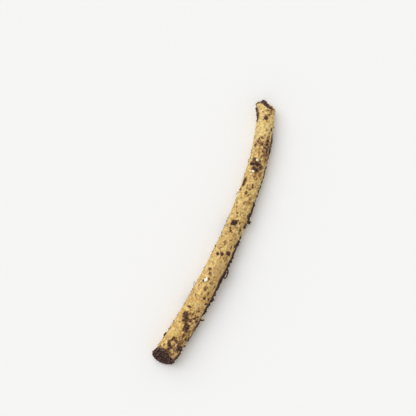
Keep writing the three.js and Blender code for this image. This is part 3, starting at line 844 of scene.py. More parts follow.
def cut_across(form, point, normal):
    """Slices off what lies beyond a plane, and closes the cut."""
    everything = form.verts[:] + form.edges[:] + form.faces[:]
    bmesh.ops.bisect_plane(
        form, geom=everything, dist=SNAP, plane_co=point, plane_no=normal, clear_outer=True
    )
    on_plane = [vert for vert in form.verts if abs((vert.co - point).dot(normal)) < ON_CUT]
    bmesh.ops.remove_doubles(form, verts=on_plane, dist=RIM_MERGE)
    rim = [
        edge for edge in form.edges
        if edge.is_boundary and all(abs((vert.co - point).dot(normal)) < NEAR_CUT for vert in edge.verts)
    ]
    face = bmesh.ops.contextual_create(form, geom=rim)["faces"][0]
    centre = face.calc_center_median()
    size, height = 1.0, 0.0
    for share, rise in RIM_STEPS:
        shrink = share / size
        face = bmesh.ops.extrude_discrete_faces(form, faces=[face])["faces"][0]
        bmesh.ops.scale(form, vec=(shrink,) * 3, space=Matrix.Translation(-centre), verts=face.verts)
        bmesh.ops.translate(form, vec=normal * (rise - shrink * height) * MM, verts=face.verts)
        size, height = share, rise
        for vert in face.verts:
            vert[flesh] = min(1.0, (1 - share) / RIM_SHARE)
            fine = noise.noise(vert.co / (FLESH_FINE * MM))
            rough = noise.noise(vert.co / (FLESH_COARSE * MM)) + FLESH_FINE_SHARE * fine
            vert.co += normal * FLESH_ROUGHNESS * (1 - share) ** 0.5 * rough * MM
    bmesh.ops.poke(form, faces=[face])


for point, normal in (crown_cut, tail_cut):
    cut_across(root_form, point, normal)
bmesh.ops.recalc_face_normals(root_form, faces=root_form.faces)
open_edges = sum(not edge.is_manifold for edge in root_form.edges)
print("faces in the root:", len(root_form.faces), "open edges:", open_edges)

# %% [markdown]
# ## What the skin remembers
#
# The skin's colour follows the root, not the room, so every point stores where it is on the root, and how
# much soil, scar, bruise and bare flesh there is. The material reads these stored values. They are computed
# once here, from the same lists that place the crumbs.

# %% The skin's mesh, and how values are kept on it
root_mesh = bpy.data.meshes.new("root_skin")
root_form.to_mesh(root_mesh)
root_form.free()
root_mesh.polygons.foreach_set("use_smooth", np.ones(len(root_mesh.polygons), bool))


def points_of(mesh):
    """A mesh's points as an array, in millimetres."""
    flat = np.empty(3 * len(mesh.vertices), np.float32)
    mesh.vertices.foreach_get("co", flat)
    return flat.reshape(-1, 3).astype(float) / MM


def store(mesh, name, values):
    """Keeps one number for each point of a mesh under a name."""
    mesh.attributes.new(name, "FLOAT", "POINT").data.foreach_set("value", values.astype(np.float32))


def place_on_face(face):
    """How far each point of the root is across and up from the middle of a cut, in millimetres."""
    middle, across, slope, _ = (np.array(vector) for vector in face)
    from_middle = points_of(root_mesh) - middle / MM
    return from_middle @ across, from_middle @ slope


s, angle, radius = where_on_root(points_of(root_mesh))
straight = np.stack([s, radius * np.sin(angle), radius * np.cos(angle)], -1)
print("skin between s", s.min().round(1), "and", s.max().round(1))

# %% Soil, scars and bruise
HALO = 1.3  # the skin round a crumb is stained this much further than the crumb reaches
# How strong the stain is under a flat crumb, and what each millimetre of the crumb's height adds.
STAIN_LEAST, STAIN_GAIN = 0.6, 0.6
CLEAN_CORNER = (0.4, 1.4)  # across and up, the part of the crown's cut that stayed clean ends here
CLEAN_BLUR = (-0.9, 0.5)  # the stain sets in between these distances past that end
CROWN_STAIN = 0.8
# The soil on the tail's cut reaches the lip on the inside. From CAKE_CORNER across, its edge slants down.
CAKE_CORNER = 1
CAKE_EDGE = 9.4
CAKE_SLANT = 1.4
CAKE_BLUR = (-0.4, 0.4)
TAIL_STAIN = 0.95

all_crumbs = [dab for dabs in SOIL_CRUMBS.values() for dab in dabs] + LOOSE_CRUMBS
under_crumbs = [
    (place_s, degrees, half_length * HALO, half_width * HALO, min(1.0, STAIN_LEAST + STAIN_GAIN * height))
    for place_s, degrees, half_length, half_width, height in all_crumbs
]
soiled = np.maximum(spots(s, angle, SILT_FILMS), spots(s, angle, under_crumbs))
flesh_share = np.empty(len(s), np.float32)
root_mesh.attributes["flesh"].data.foreach_get("value", flesh_share)
across, up = place_on_face(crown_face)
past_corner = np.maximum(across - CLEAN_CORNER[0], up - CLEAN_CORNER[1])
crown_caked = CROWN_STAIN - CROWN_STAIN * fade(past_corner, *CLEAN_BLUR)
across, up = place_on_face(tail_face)
into_corner = np.minimum(across - CAKE_CORNER, up - CAKE_EDGE + CAKE_SLANT * (across - CAKE_CORNER))
tail_caked = TAIL_STAIN * fade(into_corner, *CAKE_BLUR)
soiled = np.maximum(soiled, flesh_share * np.where(s > ROOT_LENGTH / 2, tail_caked, crown_caked))
store(root_mesh, "soiled", soiled)
store(root_mesh, "scarred", scar_marks(s, angle))
store(root_mesh, "bruised", spots(s, angle, [(*BRUISE, 1.0)]))
print("share of the skin with soil on it:", round(float((soiled > 0.3).mean()), 3))

# %% The place on the root and the ground colour
# The ground colour is given at some distances from the crown, and drifts from one to the next.
GROUND_COLOURS = [
    (0, (230, 200, 128)), (9, (242, 213, 135)), (18, (252, 224, 142)), (24, (240, 210, 131)),
    (32, (216, 182, 104)), (60, (220, 187, 101)), (80, (213, 179, 98)), (100, (210, 174, 95)),
    (130, (210, 172, 93)), (150, (214, 174, 88)), (175, (213, 172, 83)), (196, (215, 178, 96)),
]
RUST_CLOUDS = [
    (11.3, 22, 1.8, 1.3, 0.9), (149, 0, 3.2, 1.8, 0.9), (168.3, -14, 1.8, 1.6, 0.8), (152, 45, 7, 2.4, 0.5),
    (166, 42, 7, 2.4, 0.6), (177, 5, 6, 2.0, 0.5), (60, -40, 5, 2.0, 0.4), (98, 25, 7, 2.6, 0.35),
]
RUST_TAKES = (0.0, 0.16, 0.42)  # the share of red, green and blue that rust takes away

root_mesh.attributes.new("on_root", "FLOAT_VECTOR", "POINT").data.foreach_set(
    "vector", straight.astype(np.float32).ravel()
)
ground_s, ground_shades = zip(*GROUND_COLOURS)
ground = np.ones((len(s), 4), np.float32)
for channel in range(3):
    ground[:, channel] = np.interp(s, ground_s, [colour(*shade)[channel] for shade in ground_shades])
ground[:, :3] *= 1 - spots(s, angle, RUST_CLOUDS)[:, None] * RUST_TAKES
root_mesh.attributes.new("ground", "FLOAT_COLOR", "POINT").data.foreach_set("color", ground.ravel())
print("values on the skin:", [stored.name for stored in root_mesh.attributes])

# %% [markdown]
# ## Shared surface effects
#
# Skin, soil and perlite all have blotches and small specks, only at other sizes and colours. Each effect is a
# node group, built once and placed in every material with its own values. Both read a place in millimetres,
# so a size is the size of a real lump.


# %% Blotches
def new_effect(name, inputs, outputs):
    """A node group with named sockets, and its two end nodes."""
    group = bpy.data.node_groups.new(name, "ShaderNodeTree")
    for socket, kind, value in inputs:
        made = group.interface.new_socket(socket, in_out="INPUT", socket_type="NodeSocket" + kind)
        if value is not None:
            made.default_value = value
    for socket in outputs:
        group.interface.new_socket(socket, in_out="OUTPUT", socket_type="NodeSocketFloat")
    return group, group.nodes.new("NodeGroupInput").outputs, group.nodes.new("NodeGroupOutput").inputs


def vectors(tree, operation, first, second):
    """The output of a Vector Math node. For a SCALE the second value is a number, and otherwise a vector."""
    sockets = {0: first, "Scale" if operation == "SCALE" else 1: second}
    return add(tree, "VectorMath", sockets, operation=operation).outputs[0]


blotches, given, gives = new_effect(
    "blotches",
    [("Place", "Vector", None), ("Size", "Float", 1.0), ("Stretch", "Vector", (1, 1, 1)),
     ("Detail", "Float", 2.0)],
    ["Blotch"],
)
lumps = add(blotches, "TexNoise", {
    "Vector": vectors(blotches, "DIVIDE", given["Place"], given["Stretch"]),
    "Scale": maths(blotches, "DIVIDE", 1.0, given["Size"]),
    "Detail": given["Detail"],
    "Roughness": 0.6,
})
plug(blotches, gives["Blotch"], between(blotches, lumps.outputs["Fac"], 0.3, 0.7))
print("nodes in the blotches:", len(blotches.nodes))

# %% Specks
# A speck is a disc round the middle of a Voronoi cell. Noise moves the places in it, which makes it ragged.
WANDER_FINENESS = 1.2  # the noise's lumps are the speck's radius divided by this
WANDER_REACH = 2.6  # the noise's whole range, in radii of the speck
SPECK_CORE = 0.7  # a speck is solid to this share of its radius, and fades out beyond

specks, given, gives = new_effect(
    "specks",
    [("Place", "Vector", None), ("Spacing", "Float", 1.0), ("Radius", "Float", 0.3), ("Share", "Float", 0.5)],
    ["Speck"],
)
wander = add(specks, "TexNoise", {
    "Vector": given["Place"],
    "Scale": maths(specks, "DIVIDE", WANDER_FINENESS, given["Radius"]),
    "Detail": 2.0,
}).outputs["Color"]
wander = vectors(specks, "SUBTRACT", wander, (0.5, 0.5, 0.5))
wander = vectors(specks, "SCALE", wander, maths(specks, "MULTIPLY", given["Radius"], WANDER_REACH))
cells = add(specks, "TexVoronoi", {
    "Vector": vectors(specks, "ADD", given["Place"], wander),
    "Scale": maths(specks, "DIVIDE", 1.0, given["Spacing"]),
    "Randomness": 1.0,
}).outputs
reach = maths(specks, "DIVIDE", given["Radius"], given["Spacing"])
dot = between(specks, cells["Distance"], maths(specks, "MULTIPLY", reach, SPECK_CORE), reach, 1.0, 0.0)
dice = add(specks, "SeparateColor", {0: cells["Color"]}).outputs[0]
chosen = maths(specks, "LESS_THAN", dice, given["Share"])
plug(specks, gives["Speck"], maths(specks, "MULTIPLY", dot, chosen))
print("nodes in the specks:", len(specks.nodes))


# %% Placing the effects in a material
def blotch(tree, place, size, stretch=(1, 1, 1), detail=2.0):
    """Soft blotches of about that size in millimetres, from 0 to 1."""
    sockets = {"Place": place, "Size": size, "Stretch": stretch, "Detail": detail}
    return add(tree, "Group", sockets, node_tree=blotches).outputs[0]


def speck(tree, place, spacing, radius, share):
    """Small round specks: their spacing and radius in millimetres, and the share of places that have one."""
    sockets = {"Place": place, "Spacing": spacing, "Radius": radius, "Share": share}
    return add(tree, "Group", sockets, node_tree=specks).outputs[0]


def object_place(tree):
    """The place on a piece, in millimetres."""
    return vectors(tree, "MULTIPLY", add(tree, "TexCoord").outputs["Object"], (1 / MM,) * 3)


def bumpy(tree, shader, height, depth):
    """Fine relief on a shader: a height from 0 to 1 over a depth in millimetres."""
    bump = add(tree, "Bump", {"Height": height, "Distance": depth * MM, "Strength": 1.0})
    plug(tree, shader.inputs["Normal"], bump.outputs[0])


print("effects:", [group.name for group in bpy.data.node_groups])

# %% [markdown]
# ## The skin's finish
#
# Horseradish skin is thin, dry cork. Its straw colour drifts along the root, with orange, olive and pinkish
# clouds, faint lines across it and pin-pricks. Silt darkens it in ragged films. The layers are laid on in
# that order, from the cork out to the dirt. Noise breaks up the stored amount of soil, so a film has torn
# edges and never a drawn outline.

# %% The skin's finish
skin_material, skin, skin_shader = new_material("root_skin", 0.62)
skin_shader.inputs["Specular IOR Level"].default_value = 0.3
on_root = attribute(skin, "on_root", "Vector")


def elsewhere(shift, size, **settings):
    """Blotches on the skin that don't line up with the other ones, because their place is shifted."""
    return blotch(skin, vectors(skin, "ADD", on_root, shift), size, **settings)


cork = attribute(skin, "ground", "Color")
cork = layer(skin, cork, blotch(skin, on_root, 9.0), 0.25, colour(236, 204, 138))
cork = layer(skin, cork, blotch(skin, on_root, 5.0, (2.2, 1, 1)), 0.40, colour(178, 132, 70))
cork = layer(skin, cork, elsewhere((31, 7, 3), 3.0), 0.36, colour(164, 142, 66))  # olive clouds
cork = layer(skin, cork, elsewhere((-17, 12, 9), 3.4), 0.26, colour(216, 148, 98))  # pink clouds
mottled = blotch(skin, on_root, 1.6, detail=6.0)
cork = layer(skin, cork, between(skin, mottled, 0.5, 1.0), 0.5, colour(138, 98, 54))
pale = elsewhere((5, 3, 21), 2.0, detail=6.0)
cork = layer(skin, cork, between(skin, pale, 0.25, 0.95), 0.55, colour(250, 228, 158))
lines = blotch(skin, on_root, 1.0, (1, 5, 5), 3.0)
cork = layer(skin, cork, between(skin, lines, 0.6, 1.0), 0.42, colour(130, 90, 48))
cork = layer(skin, cork, attribute(skin, "bruised"), 0.6, colour(196, 160, 104))
cork = layer(skin, cork, attribute(skin, "scarred"), 0.6, colour(128, 86, 48))
print("nodes in the clean cork:", len(skin.nodes))

# %% The skin's pin-pricks and the flesh of the cuts
# The pricks are fainter on the inside of the bow.
outside = between(skin, add(skin, "SeparateXYZ", {0: on_root}).outputs[1], -5.0, 5.0, 0.45, 1.0)
pricks = speck(skin, on_root, 1.5, 0.4, 0.45)
cork = layer(skin, cork, pricks, maths(skin, "MULTIPLY", outside, 0.85), colour(94, 62, 36))
bold_pricks = speck(skin, on_root, 2.9, 0.62, 0.45)
cork = layer(skin, cork, bold_pricks, maths(skin, "MULTIPLY", outside, 0.9), colour(78, 50, 34))

flesh_mottle = blotch(skin, on_root, 1.0, detail=4.0)
flesh_colour = mix(skin, flesh_mottle, colour(190, 152, 96), colour(220, 188, 128))
flesh_colour = layer(skin, flesh_colour, speck(skin, on_root, 0.9, 0.3, 0.5), 0.6, colour(138, 100, 62))
surface = mix(skin, attribute(skin, "flesh"), cork, flesh_colour)
print("nodes with the pricks and the flesh:", len(skin.nodes))

# %% The silt on the skin
stored_soil = attribute(skin, "soiled")
torn = maths(skin, "SUBTRACT", blotch(skin, on_root, 1.6, detail=4.0), 0.5)
torn_fine = maths(skin, "SUBTRACT", blotch(skin, on_root, 0.6), 0.5)
broken = maths(skin, "ADD", maths(skin, "MULTIPLY", torn, 0.55), maths(skin, "MULTIPLY", torn_fine, 0.30))
broken = maths(skin, "MULTIPLY", broken, between(skin, stored_soil, 0.02, 0.3))
soil_depth = maths(skin, "ADD", stored_soil, broken)
silt = between(skin, soil_depth, 0.14, 0.5)
thick = between(skin, soil_depth, 0.66, 1.05)
silt_colour = mix(skin, elsewhere((3, 41, 11), 1.3, detail=3.0), colour(178, 133, 82), colour(108, 70, 46))
dirty = layer(skin, surface, silt, 0.88, silt_colour)
dirty = layer(skin, dirty, thick, 0.9, colour(48, 30, 22))
plug(skin, skin_shader.inputs["Base Color"], dirty)
plug(skin, skin_shader.inputs["Roughness"], between(skin, soil_depth, 0.1, 0.6, 0.58, 0.92))

fine = maths(skin, "MULTIPLY", blotch(skin, on_root, 0.45, detail=3.0), 0.5)
creased = maths(skin, "MULTIPLY", blotch(skin, on_root, 0.5, (1, 5, 5), 3.0), 0.3)
gritty = maths(skin, "MULTIPLY", silt, blotch(skin, on_root, 0.35))
sunk = maths(skin, "MULTIPLY", pricks, -0.4)
unevenness = maths(skin, "ADD", maths(skin, "ADD", fine, creased), maths(skin, "ADD", gritty, sunk))
bumpy(skin, skin_shader, unevenness, 0.12)
root_mesh.materials.append(skin_material)
print("nodes in the skin:", len(skin.nodes))

# %% The root in its place
root_piece = bpy.data.objects.new("root_grown", root_mesh)
scene.collection.objects.link(root_piece)
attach(root_piece, "root")
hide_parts("root")
skin_tree = ray_target(root_mesh)
INSIDE_CUTS = 7  # rays start at least this far inside both cuts


def seat(s, degrees):
    """The point of the grown skin at s and an angle, and the way out of the root there."""
    s, turn = float(s), np.float64(math.radians(degrees))
    start = Vector(axis_at(min(max(s, INSIDE_CUTS), ROOT_LENGTH - INSIDE_CUTS))[0] * MM)
    direction = (Vector(in_section(s, turn, skin_radius(s, turn)) * MM) - start).normalized()
    return skin_tree.ray_cast(start, direction)[0], direction


print("height of the top of the middle, in millimetres:", round(seat(95, 0)[0].z / MM, 2))

# %% [markdown]
# ## Soil crumbs
#
# Garden soil sticks in crumbs: small angular lumps, each pressed out of round, that lie packed together. One
# crumb is an icosphere knocked out of shape by noise. A voxel Remesh fuses a patch of crumbs into one closed
# crust, as damp soil does, and noise roughens it. Real crumbs are half sunk in the silt, so they are sunk in
# the skin here too.

# %% Soil crumbs
CRUMB_SIZE = 0.5  # the usual half width of a crumb
SMALL_SHARE, SMALL_LEAST = 0.75, 0.1  # in a small dab it is this share of the dab's, and this much more
CRUMB_WOBBLE, CRUMB_LUMPS = 0.6, 1.6  # how far noise knocks a crumb out of round, and how fine it is
NOISE_REACH = 50  # each crumb takes its noise from another place, up to this far off
CRUMB_CLOSENESS = 1.8  # 1 covers a dab about once over
SPIKE_FROM = 2  # a dab over this many times as tall as its half width is one spike
DAB_MARGIN = 0.5  # the middle of a crumb stays this share of its size inside the dab's edge
CRUMB_RISE = 0.62  # half a crumb's height, as a share of how far its top stands above the skin
LEAST_RISE = 0.3
DAB_SLOPE = 0.4  # a dab's outermost crumbs are this much lower than its middle ones
CRUMB_HEIGHTS, CRUMB_LENGTHS, CRUMB_WIDTHS = (0.7, 1.2), (0.45, 1.4), (0.45, 1.1)  # as shares of the usual
CRUMB_NARROWNESS = (0.6, 1)  # how wide a crumb of the cake or a grain of dust is for its length
one_crumb = bpy.data.meshes.new("one_crumb")


def add_crumb(form, rolls, point, out, size, faces=2):
    """One crumb of soil at a point, with its half sizes in millimetres. rolls is a seeded random source.

    It is made in a small form of its own and then added, because an operator takes longer in a big form.
    """
    ball = bmesh.new()
    verts = bmesh.ops.create_icosphere(ball, subdivisions=faces, radius=1.0)["verts"]
    offset = Vector((rolls.uniform(-NOISE_REACH, NOISE_REACH) for _ in range(3)))
    for vert in verts:
        vert.co *= 1 + CRUMB_WOBBLE * noise.noise(CRUMB_LUMPS * vert.co + offset)
    turn = out.to_track_quat("Z", "Y").to_matrix() @ Matrix.Rotation(rolls.uniform(0, math.pi), 3, "Z")
    shape = turn @ Matrix.Diagonal(Vector(size) * MM)
    bmesh.ops.transform(ball, matrix=Matrix.Translation(point) @ shape.to_4x4(), verts=verts)
    for vert in verts:
        vert.co.z = max(vert.co.z, 0)
    ball.to_mesh(one_crumb)
    ball.free()
    form.from_mesh(one_crumb, face_normals=False, vertex_normals=False)


def add_dab(form, rolls, dab):
    """A dab of crumbs on the skin. One that is tall for its width is a single spike."""
    s, degrees, half_length, half_width, height = dab
    size = min(CRUMB_SIZE, SMALL_SHARE * min(half_length, half_width) + SMALL_LEAST)
    spike = height > SPIKE_FROM * half_width
    count = 1 if spike else max(1, round(CRUMB_CLOSENESS * half_length * half_width / size**2))
    for _ in range(count):
        far, turn = math.sqrt(rolls.random()) * (count > 1), rolls.uniform(0, 2 * math.pi)
        along = far * math.cos(turn) * max(half_length - DAB_MARGIN * size, 0)
        around = far * math.sin(turn) * max(half_width - DAB_MARGIN * size, 0)
        place_s = s + along
        degrees_here = degrees + math.degrees(around / float(skin_radius(place_s, math.radians(degrees))))
        point, out = seat(place_s, degrees_here)
        peak = height if spike else height * (1 - DAB_SLOPE * far) * rolls.uniform(*CRUMB_HEIGHTS)
        tall = max(LEAST_RISE, CRUMB_RISE * peak)
        long = size * rolls.uniform(*CRUMB_LENGTHS) if count > 1 else half_length
        wide = size * rolls.uniform(*CRUMB_WIDTHS) if count > 1 else half_width
        point = point + out * (peak - tall) * MM
        add_crumb(form, rolls, point, out, (long, wide, tall))


print("crumbs in a dab of 2 by 2 millimetres:", round(CRUMB_CLOSENESS / CRUMB_SIZE**2))

# %% Fusing crumbs into a crust
CRUST_VOXEL = 0.17 * MM
CRUST_ROUGHNESS = 0.19
COARSE_GRIT, FINE_GRIT, FINE_SHARE = 0.75, 0.33, 0.8
SURROUNDINGS = 30  # rounds of averaging that say what a point's surroundings are
RAISED_RANGE = 1.0  # millimetres from the bottom of a crack to the top of a peak


def store_raised(mesh):
    """Keeps how far each point stands above its surroundings: 0.5 is level, 1 a peak and 0 a crack. The soil's
    finish paints highlight on the peaks and shade in the cracks from it.
    """
    ends = np.empty(2 * len(mesh.edges), int)
    mesh.edges.foreach_get("vertices", ends)
    ends = ends.reshape(-1, 2)
    places, normals = points_of(mesh), np.empty(3 * len(mesh.vertices))
    mesh.vertex_normals.foreach_get("vector", normals)
    near = places.copy()
    count = np.bincount(ends.ravel(), minlength=len(places))[:, None]
    for _ in range(SURROUNDINGS):
        total = np.zeros_like(near)
        np.add.at(total, ends[:, 0], near[ends[:, 1]])
        np.add.at(total, ends[:, 1], near[ends[:, 0]])
        near = 0.5 * near + 0.5 * total / np.maximum(count, 1)
    rise = ((places - near) * normals.reshape(-1, 3)).sum(-1)
    store(mesh, "height_for_painted_light", np.clip(0.5 + rise / RAISED_RANGE, 0, 1))


def fuse(form, name, voxel=CRUST_VOXEL, roughness=CRUST_ROUGHNESS):
    """A patch of crumbs as one closed, rough crust."""
    mesh = bpy.data.meshes.new(name)
    form.to_mesh(mesh)
    form.free()
    piece = bpy.data.objects.new(name, mesh)
    scene.collection.objects.link(piece)
    remesh = piece.modifiers.new("fuse", "REMESH")
    remesh.mode, remesh.voxel_size = "VOXEL", voxel
    shown = piece.evaluated_get(bpy.context.evaluated_depsgraph_get())
    fused = bpy.data.meshes.new_from_object(shown)
    piece.modifiers.clear()
    piece.data = fused
    bpy.data.meshes.remove(mesh)
    fused.name = name
    roughened = bmesh.new()
    roughened.from_mesh(fused)
    bmesh.ops.recalc_face_normals(roughened, faces=roughened.faces)
    roughened.normal_update()
    for vert in roughened.verts:
        fine = noise.noise(vert.co / (FINE_GRIT * MM))
        rough = noise.noise(vert.co / (COARSE_GRIT * MM)) + FINE_SHARE * fine
        vert.co += vert.normal * roughness * rough * MM
        vert.co.z = max(vert.co.z, 0)
    for face in roughened.faces:
        face.smooth = True
    roughened.to_mesh(fused)
    roughened.free()
    store_raised(fused)
    return piece


print("voxels across a crumb:", round(2 * CRUMB_SIZE * MM / CRUST_VOXEL))

# %% [markdown]
# ## The soil's finish
#
# Damp garden soil is nearly black, but it is not one brown. Each crumb has its own tone, and grains of sand
# and fibre show as light pricks. Peaks get a painted highlight and cracks painted shade. It has no shine.

# %% The soil's finish
soil_material, soil, soil_shader = new_material("soil", 0.95)
soil_shader.inputs["Specular IOR Level"].default_value = 0.15
soil_place = object_place(soil)
earth = mix(soil, blotch(soil, soil_place, 1.6), colour(44, 22, 26), colour(88, 56, 54))
crumb_colour = add(soil, "TexVoronoi", {"Vector": soil_place, "Scale": 0.8}).outputs["Color"]
crumb = add(soil, "SeparateColor", {0: crumb_colour}).outputs
earth = mix(soil, between(soil, crumb[0], 0.55, 0.95, 0.0, 0.7), earth, colour(122, 90, 78))
earth = mix(soil, between(soil, crumb[1], 0.75, 0.9, 0.0, 0.6), earth, colour(92, 80, 48))
earth = mix(soil, between(soil, crumb[2], 0.45, 0.8, 0.0, 0.8), earth, colour(24, 12, 15))
height_for_painted_light = attribute(soil, "height_for_painted_light")
# painted highlight: the peaks of the soil are drawn paler
earth = mix(soil, between(soil, height_for_painted_light, 0.5, 0.9, 0.0, 0.9), earth, colour(160, 128, 118))
earth = layer(soil, earth, speck(soil, soil_place, 0.5, 0.15, 0.35), 0.6, colour(34, 19, 20))
# painted shade: the cracks between the crumbs are drawn nearly black
earth = mix(soil, between(soil, height_for_painted_light, 0.22, 0.56, 0.95, 0.0), earth, colour(12, 6, 8))
earth = mix(soil, speck(soil, soil_place, 0.8, 0.15, 0.22), earth, colour(170, 140, 102))
# soil on the cuts is drawn a tenth paler, and crumbs on the skin a fifth darker
packed = between(soil, attribute(soil, "packed"), 0.0, 1.0, 0.8, 1.1)
plug(soil, soil_shader.inputs["Base Color"], vectors(soil, "SCALE", earth, packed))
bumpy(soil, soil_shader, blotch(soil, soil_place, 0.25, detail=4.0), 0.2)
print("nodes in the soil:", len(soil.nodes))

# %% The crusts and clods on the skin
soil_pieces = {}


def finish_soil(piece, node_name=None, packed=0.0):
    """Gives a soil piece its finish and its place on the root's body. Soil with packed at 1 is drawn a little
    paler, and at 0 a little darker.
    """
    store(piece.data, "packed", np.full(len(piece.data.vertices), packed))
    piece.data.materials.clear()
    piece.data.materials.append(soil_material)
    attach(piece, "root")
    if node_name:
        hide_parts(node_name)
    soil_pieces[piece.name] = len(piece.data.polygons)


for node_name, dabs in SOIL_CRUMBS.items():
    rolls = random.Random(node_name)
    patch = bmesh.new()
    for dab in dabs:
        add_dab(patch, rolls, dab)
    finish_soil(fuse(patch, node_name + "_crumbs"), node_name)
print("crusts and clods:", len(soil_pieces), "faces in them:", sum(soil_pieces.values()))

# %% [markdown]
# ## Soil on the cut faces
#
# A cut face is moist and flat, and soil packs on it evenly. A sunflower spiral spreads crumbs evenly over it,
# because it never lines them up in rows.

# %% Places on a cut face
GOLDEN_TURN = math.pi * (3 - math.sqrt(5))
UNDER_CUT = 0.3  # a ray that runs this far below a cut's face meets the skin, and not the rolled rim


def on_cut(face, share, turn):
    """A point at a share of the way from a cut's middle to its rim, and how far across and up it is."""
    middle, across, slope, out = face
    direction = across * math.cos(turn) + slope * math.sin(turn)
    reach = skin_tree.ray_cast(middle - out * UNDER_CUT * MM, direction)[3]
    away = share * reach
    return middle + direction * away, away * math.cos(turn) / MM, away * math.sin(turn) / MM


print("across and up the tail cut, in millimetres:",
      [round(max(on_cut(tail_face, 1, turn)[1:]), 1) for turn in (0.0, math.pi / 2)])

# %% The cake on the slanted cut
CAKE_CRUMBS = 220
CAKE_OVERHANG = 1.02  # the outermost crumbs lie this far out, as a share of the way to the rim
CAKE_TILT = 0.25  # how far a crumb may lean
CAKE_HALF_WIDTHS, CAKE_HALF_HEIGHT = (0.55, 1.2), 0.8
CAKE_HEIGHTS = (0.1, 1.9)
CAKE_SLOPE = 0.6  # the cake is this much lower at the rim
CAKE_SINK = 0.6
CAKE_VOXEL = 0.2 * MM
CAKE_ROUGHNESS = 0.16
TAIL_LIP = [(192.6, -38, 0.9, 1.3, 0.8), (193.4, -52, 0.9, 1.2, 0.8), (194.4, -68, 0.9, 1.0, 0.8)]
RIM_DABS = 46
RIM_LENGTHS, RIM_HALF_WIDTH, RIM_HEIGHT = (0.4, 0.9), 0.7, 0.6
RIM_SPILL = (-0.5, 0.7)  # how far the dabs on the rim hang over it
RIM_MARGIN = 0.8  # they reach this far into the bare corner
CAKE_SPILL = 1.0  # on the upper inside the soil hangs over the lip by this much more
UPPER_INSIDE = (2, -2)  # which is less far across than the first, and further up than the second


def bare_corner(across, up):
    """Whether a place is in the upper outside corner of the cut, which stayed clean."""
    return across > CAKE_CORNER and up > CAKE_EDGE - CAKE_SLANT * (across - CAKE_CORNER)


rolls = random.Random(11)
cake = bmesh.new()
for index in range(CAKE_CRUMBS):
    share, turn = math.sqrt((index + 0.5) / CAKE_CRUMBS) * CAKE_OVERHANG, index * GOLDEN_TURN
    point, across, up = on_cut(tail_face, share, turn)
    size = rolls.uniform(*CAKE_HALF_WIDTHS)
    height = rolls.uniform(*CAKE_HEIGHTS) * (1 - CAKE_SLOPE * share**6)
    out = (tail_face[3] + CAKE_TILT * Vector([rolls.uniform(-1, 1) for _ in range(3)])).normalized()
    if not bare_corner(across, up):
        sizes = (size, size * rolls.uniform(*CRUMB_NARROWNESS), CAKE_HALF_HEIGHT)
        add_crumb(cake, rolls, point + out * (height - CAKE_SINK) * MM, out, sizes)
for dab in TAIL_LIP:
    add_dab(cake, rolls, dab)
for index in range(RIM_DABS):
    point, across, up = on_cut(tail_face, 1.0, index / RIM_DABS * 2 * math.pi)
    rim_s, rim_angle, _ = where_on_root(np.array(point) / MM)
    spill = rolls.uniform(*RIM_SPILL) + CAKE_SPILL * (across < UPPER_INSIDE[0]) * (up > UPPER_INSIDE[1])
    length = rolls.uniform(*RIM_LENGTHS)
    if not bare_corner(across - RIM_MARGIN, up):
        place = (float(rim_s) - spill, math.degrees(rim_angle))
        add_dab(cake, rolls, (*place, length, RIM_HALF_WIDTH, RIM_HEIGHT))
cake_piece = fuse(cake, "soil_cake_slanted_cut_crumbs", CAKE_VOXEL, CAKE_ROUGHNESS)
finish_soil(cake_piece, "soil_cake_slanted_cut", 1.0)
print("faces in the cake:", soil_pieces["soil_cake_slanted_cut_crumbs"])

# %% The soil on the crown's cut
CROWN_CRUMBS = 210
CROWN_EDGE = -4.9  # the soil stops this far across, short of the outer rim
CROWN_RAGGED, RAGGED_SIZE = 2.4, 2.5  # how far the edge of the clean part wanders, and over what distance
CLEAN_CHANCE = 0.94  # the share of the crumbs that fell off the clean part
CROWN_TILT = 0.3
CROWN_HALF_WIDTHS, CROWN_HALF_HEIGHT = (0.4, 0.75), 0.5
CROWN_HEIGHTS = (0.3, 0.8)
CROWN_NARROWNESS = 0.8
CROWN_SINK = 0.4
CROWN_LIP = [
    (2.7, 47, 0.6, 1.3, 0.6), (2.0, 28, 0.6, 1.2, 0.7), (1.2, 12, 0.6, 1.1, 0.8), (0.3, -3, 0.6, 1.0, 0.8),
]

rolls = random.Random(5)
crown_soil = bmesh.new()
for index in range(CROWN_CRUMBS):
    share, turn = math.sqrt((index + 0.5) / CROWN_CRUMBS), index * GOLDEN_TURN
    point, across, up = on_cut(crown_face, share, turn)
    ragged = CROWN_RAGGED * noise.noise(point / (RAGGED_SIZE * MM))
    clean = across < CLEAN_CORNER[0] + ragged and up < CLEAN_CORNER[1]
    if (clean and rolls.random() < CLEAN_CHANCE) or across < CROWN_EDGE:
        continue
    size = rolls.uniform(*CROWN_HALF_WIDTHS)
    height = rolls.uniform(*CROWN_HEIGHTS)
    out = (crown_face[3] + CROWN_TILT * Vector([rolls.uniform(-1, 1) for _ in range(3)])).normalized()
    sizes = (size, size * CROWN_NARROWNESS, CROWN_HALF_HEIGHT)
    add_crumb(crown_soil, rolls, point + out * (height - CROWN_SINK) * MM, out, sizes)
for dab in CROWN_LIP:
    add_dab(crown_soil, rolls, dab)
finish_soil(fuse(crown_soil, "soil_cake_crown_cut_crumbs"), "soil_cake_crown_cut", 1.0)
print("faces on the crown's cut:", soil_pieces["soil_cake_crown_cut_crumbs"])

# %% The crumbs at the crown's tip
SHOULDER_RIM = [
    (-2.9, -30, 0.5, 0.8, 1.0), (-2.6, -42, 0.5, 0.8, 1.0), (-2.2, -54, 0.5, 0.8, 0.9),
    (-1.8, -66, 0.5, 0.8, 0.9), (-1.1, -78, 0.6, 0.8, 0.8), (0.6, -86, 0.9, 0.6, 0.7),
    (-2.0, -106, 0.7, 0.9, 0.6), (-1.0, -116, 0.6, 0.7, 0.5), (-2.4, -126, 0.8, 1.0, 0.6),
    (-0.6, -138, 0.7, 0.6, 0.5), (-2.2, -148, 0.7, 1.0, 0.5), (0.8, -124, 0.5, 0.5, 0.5),
]
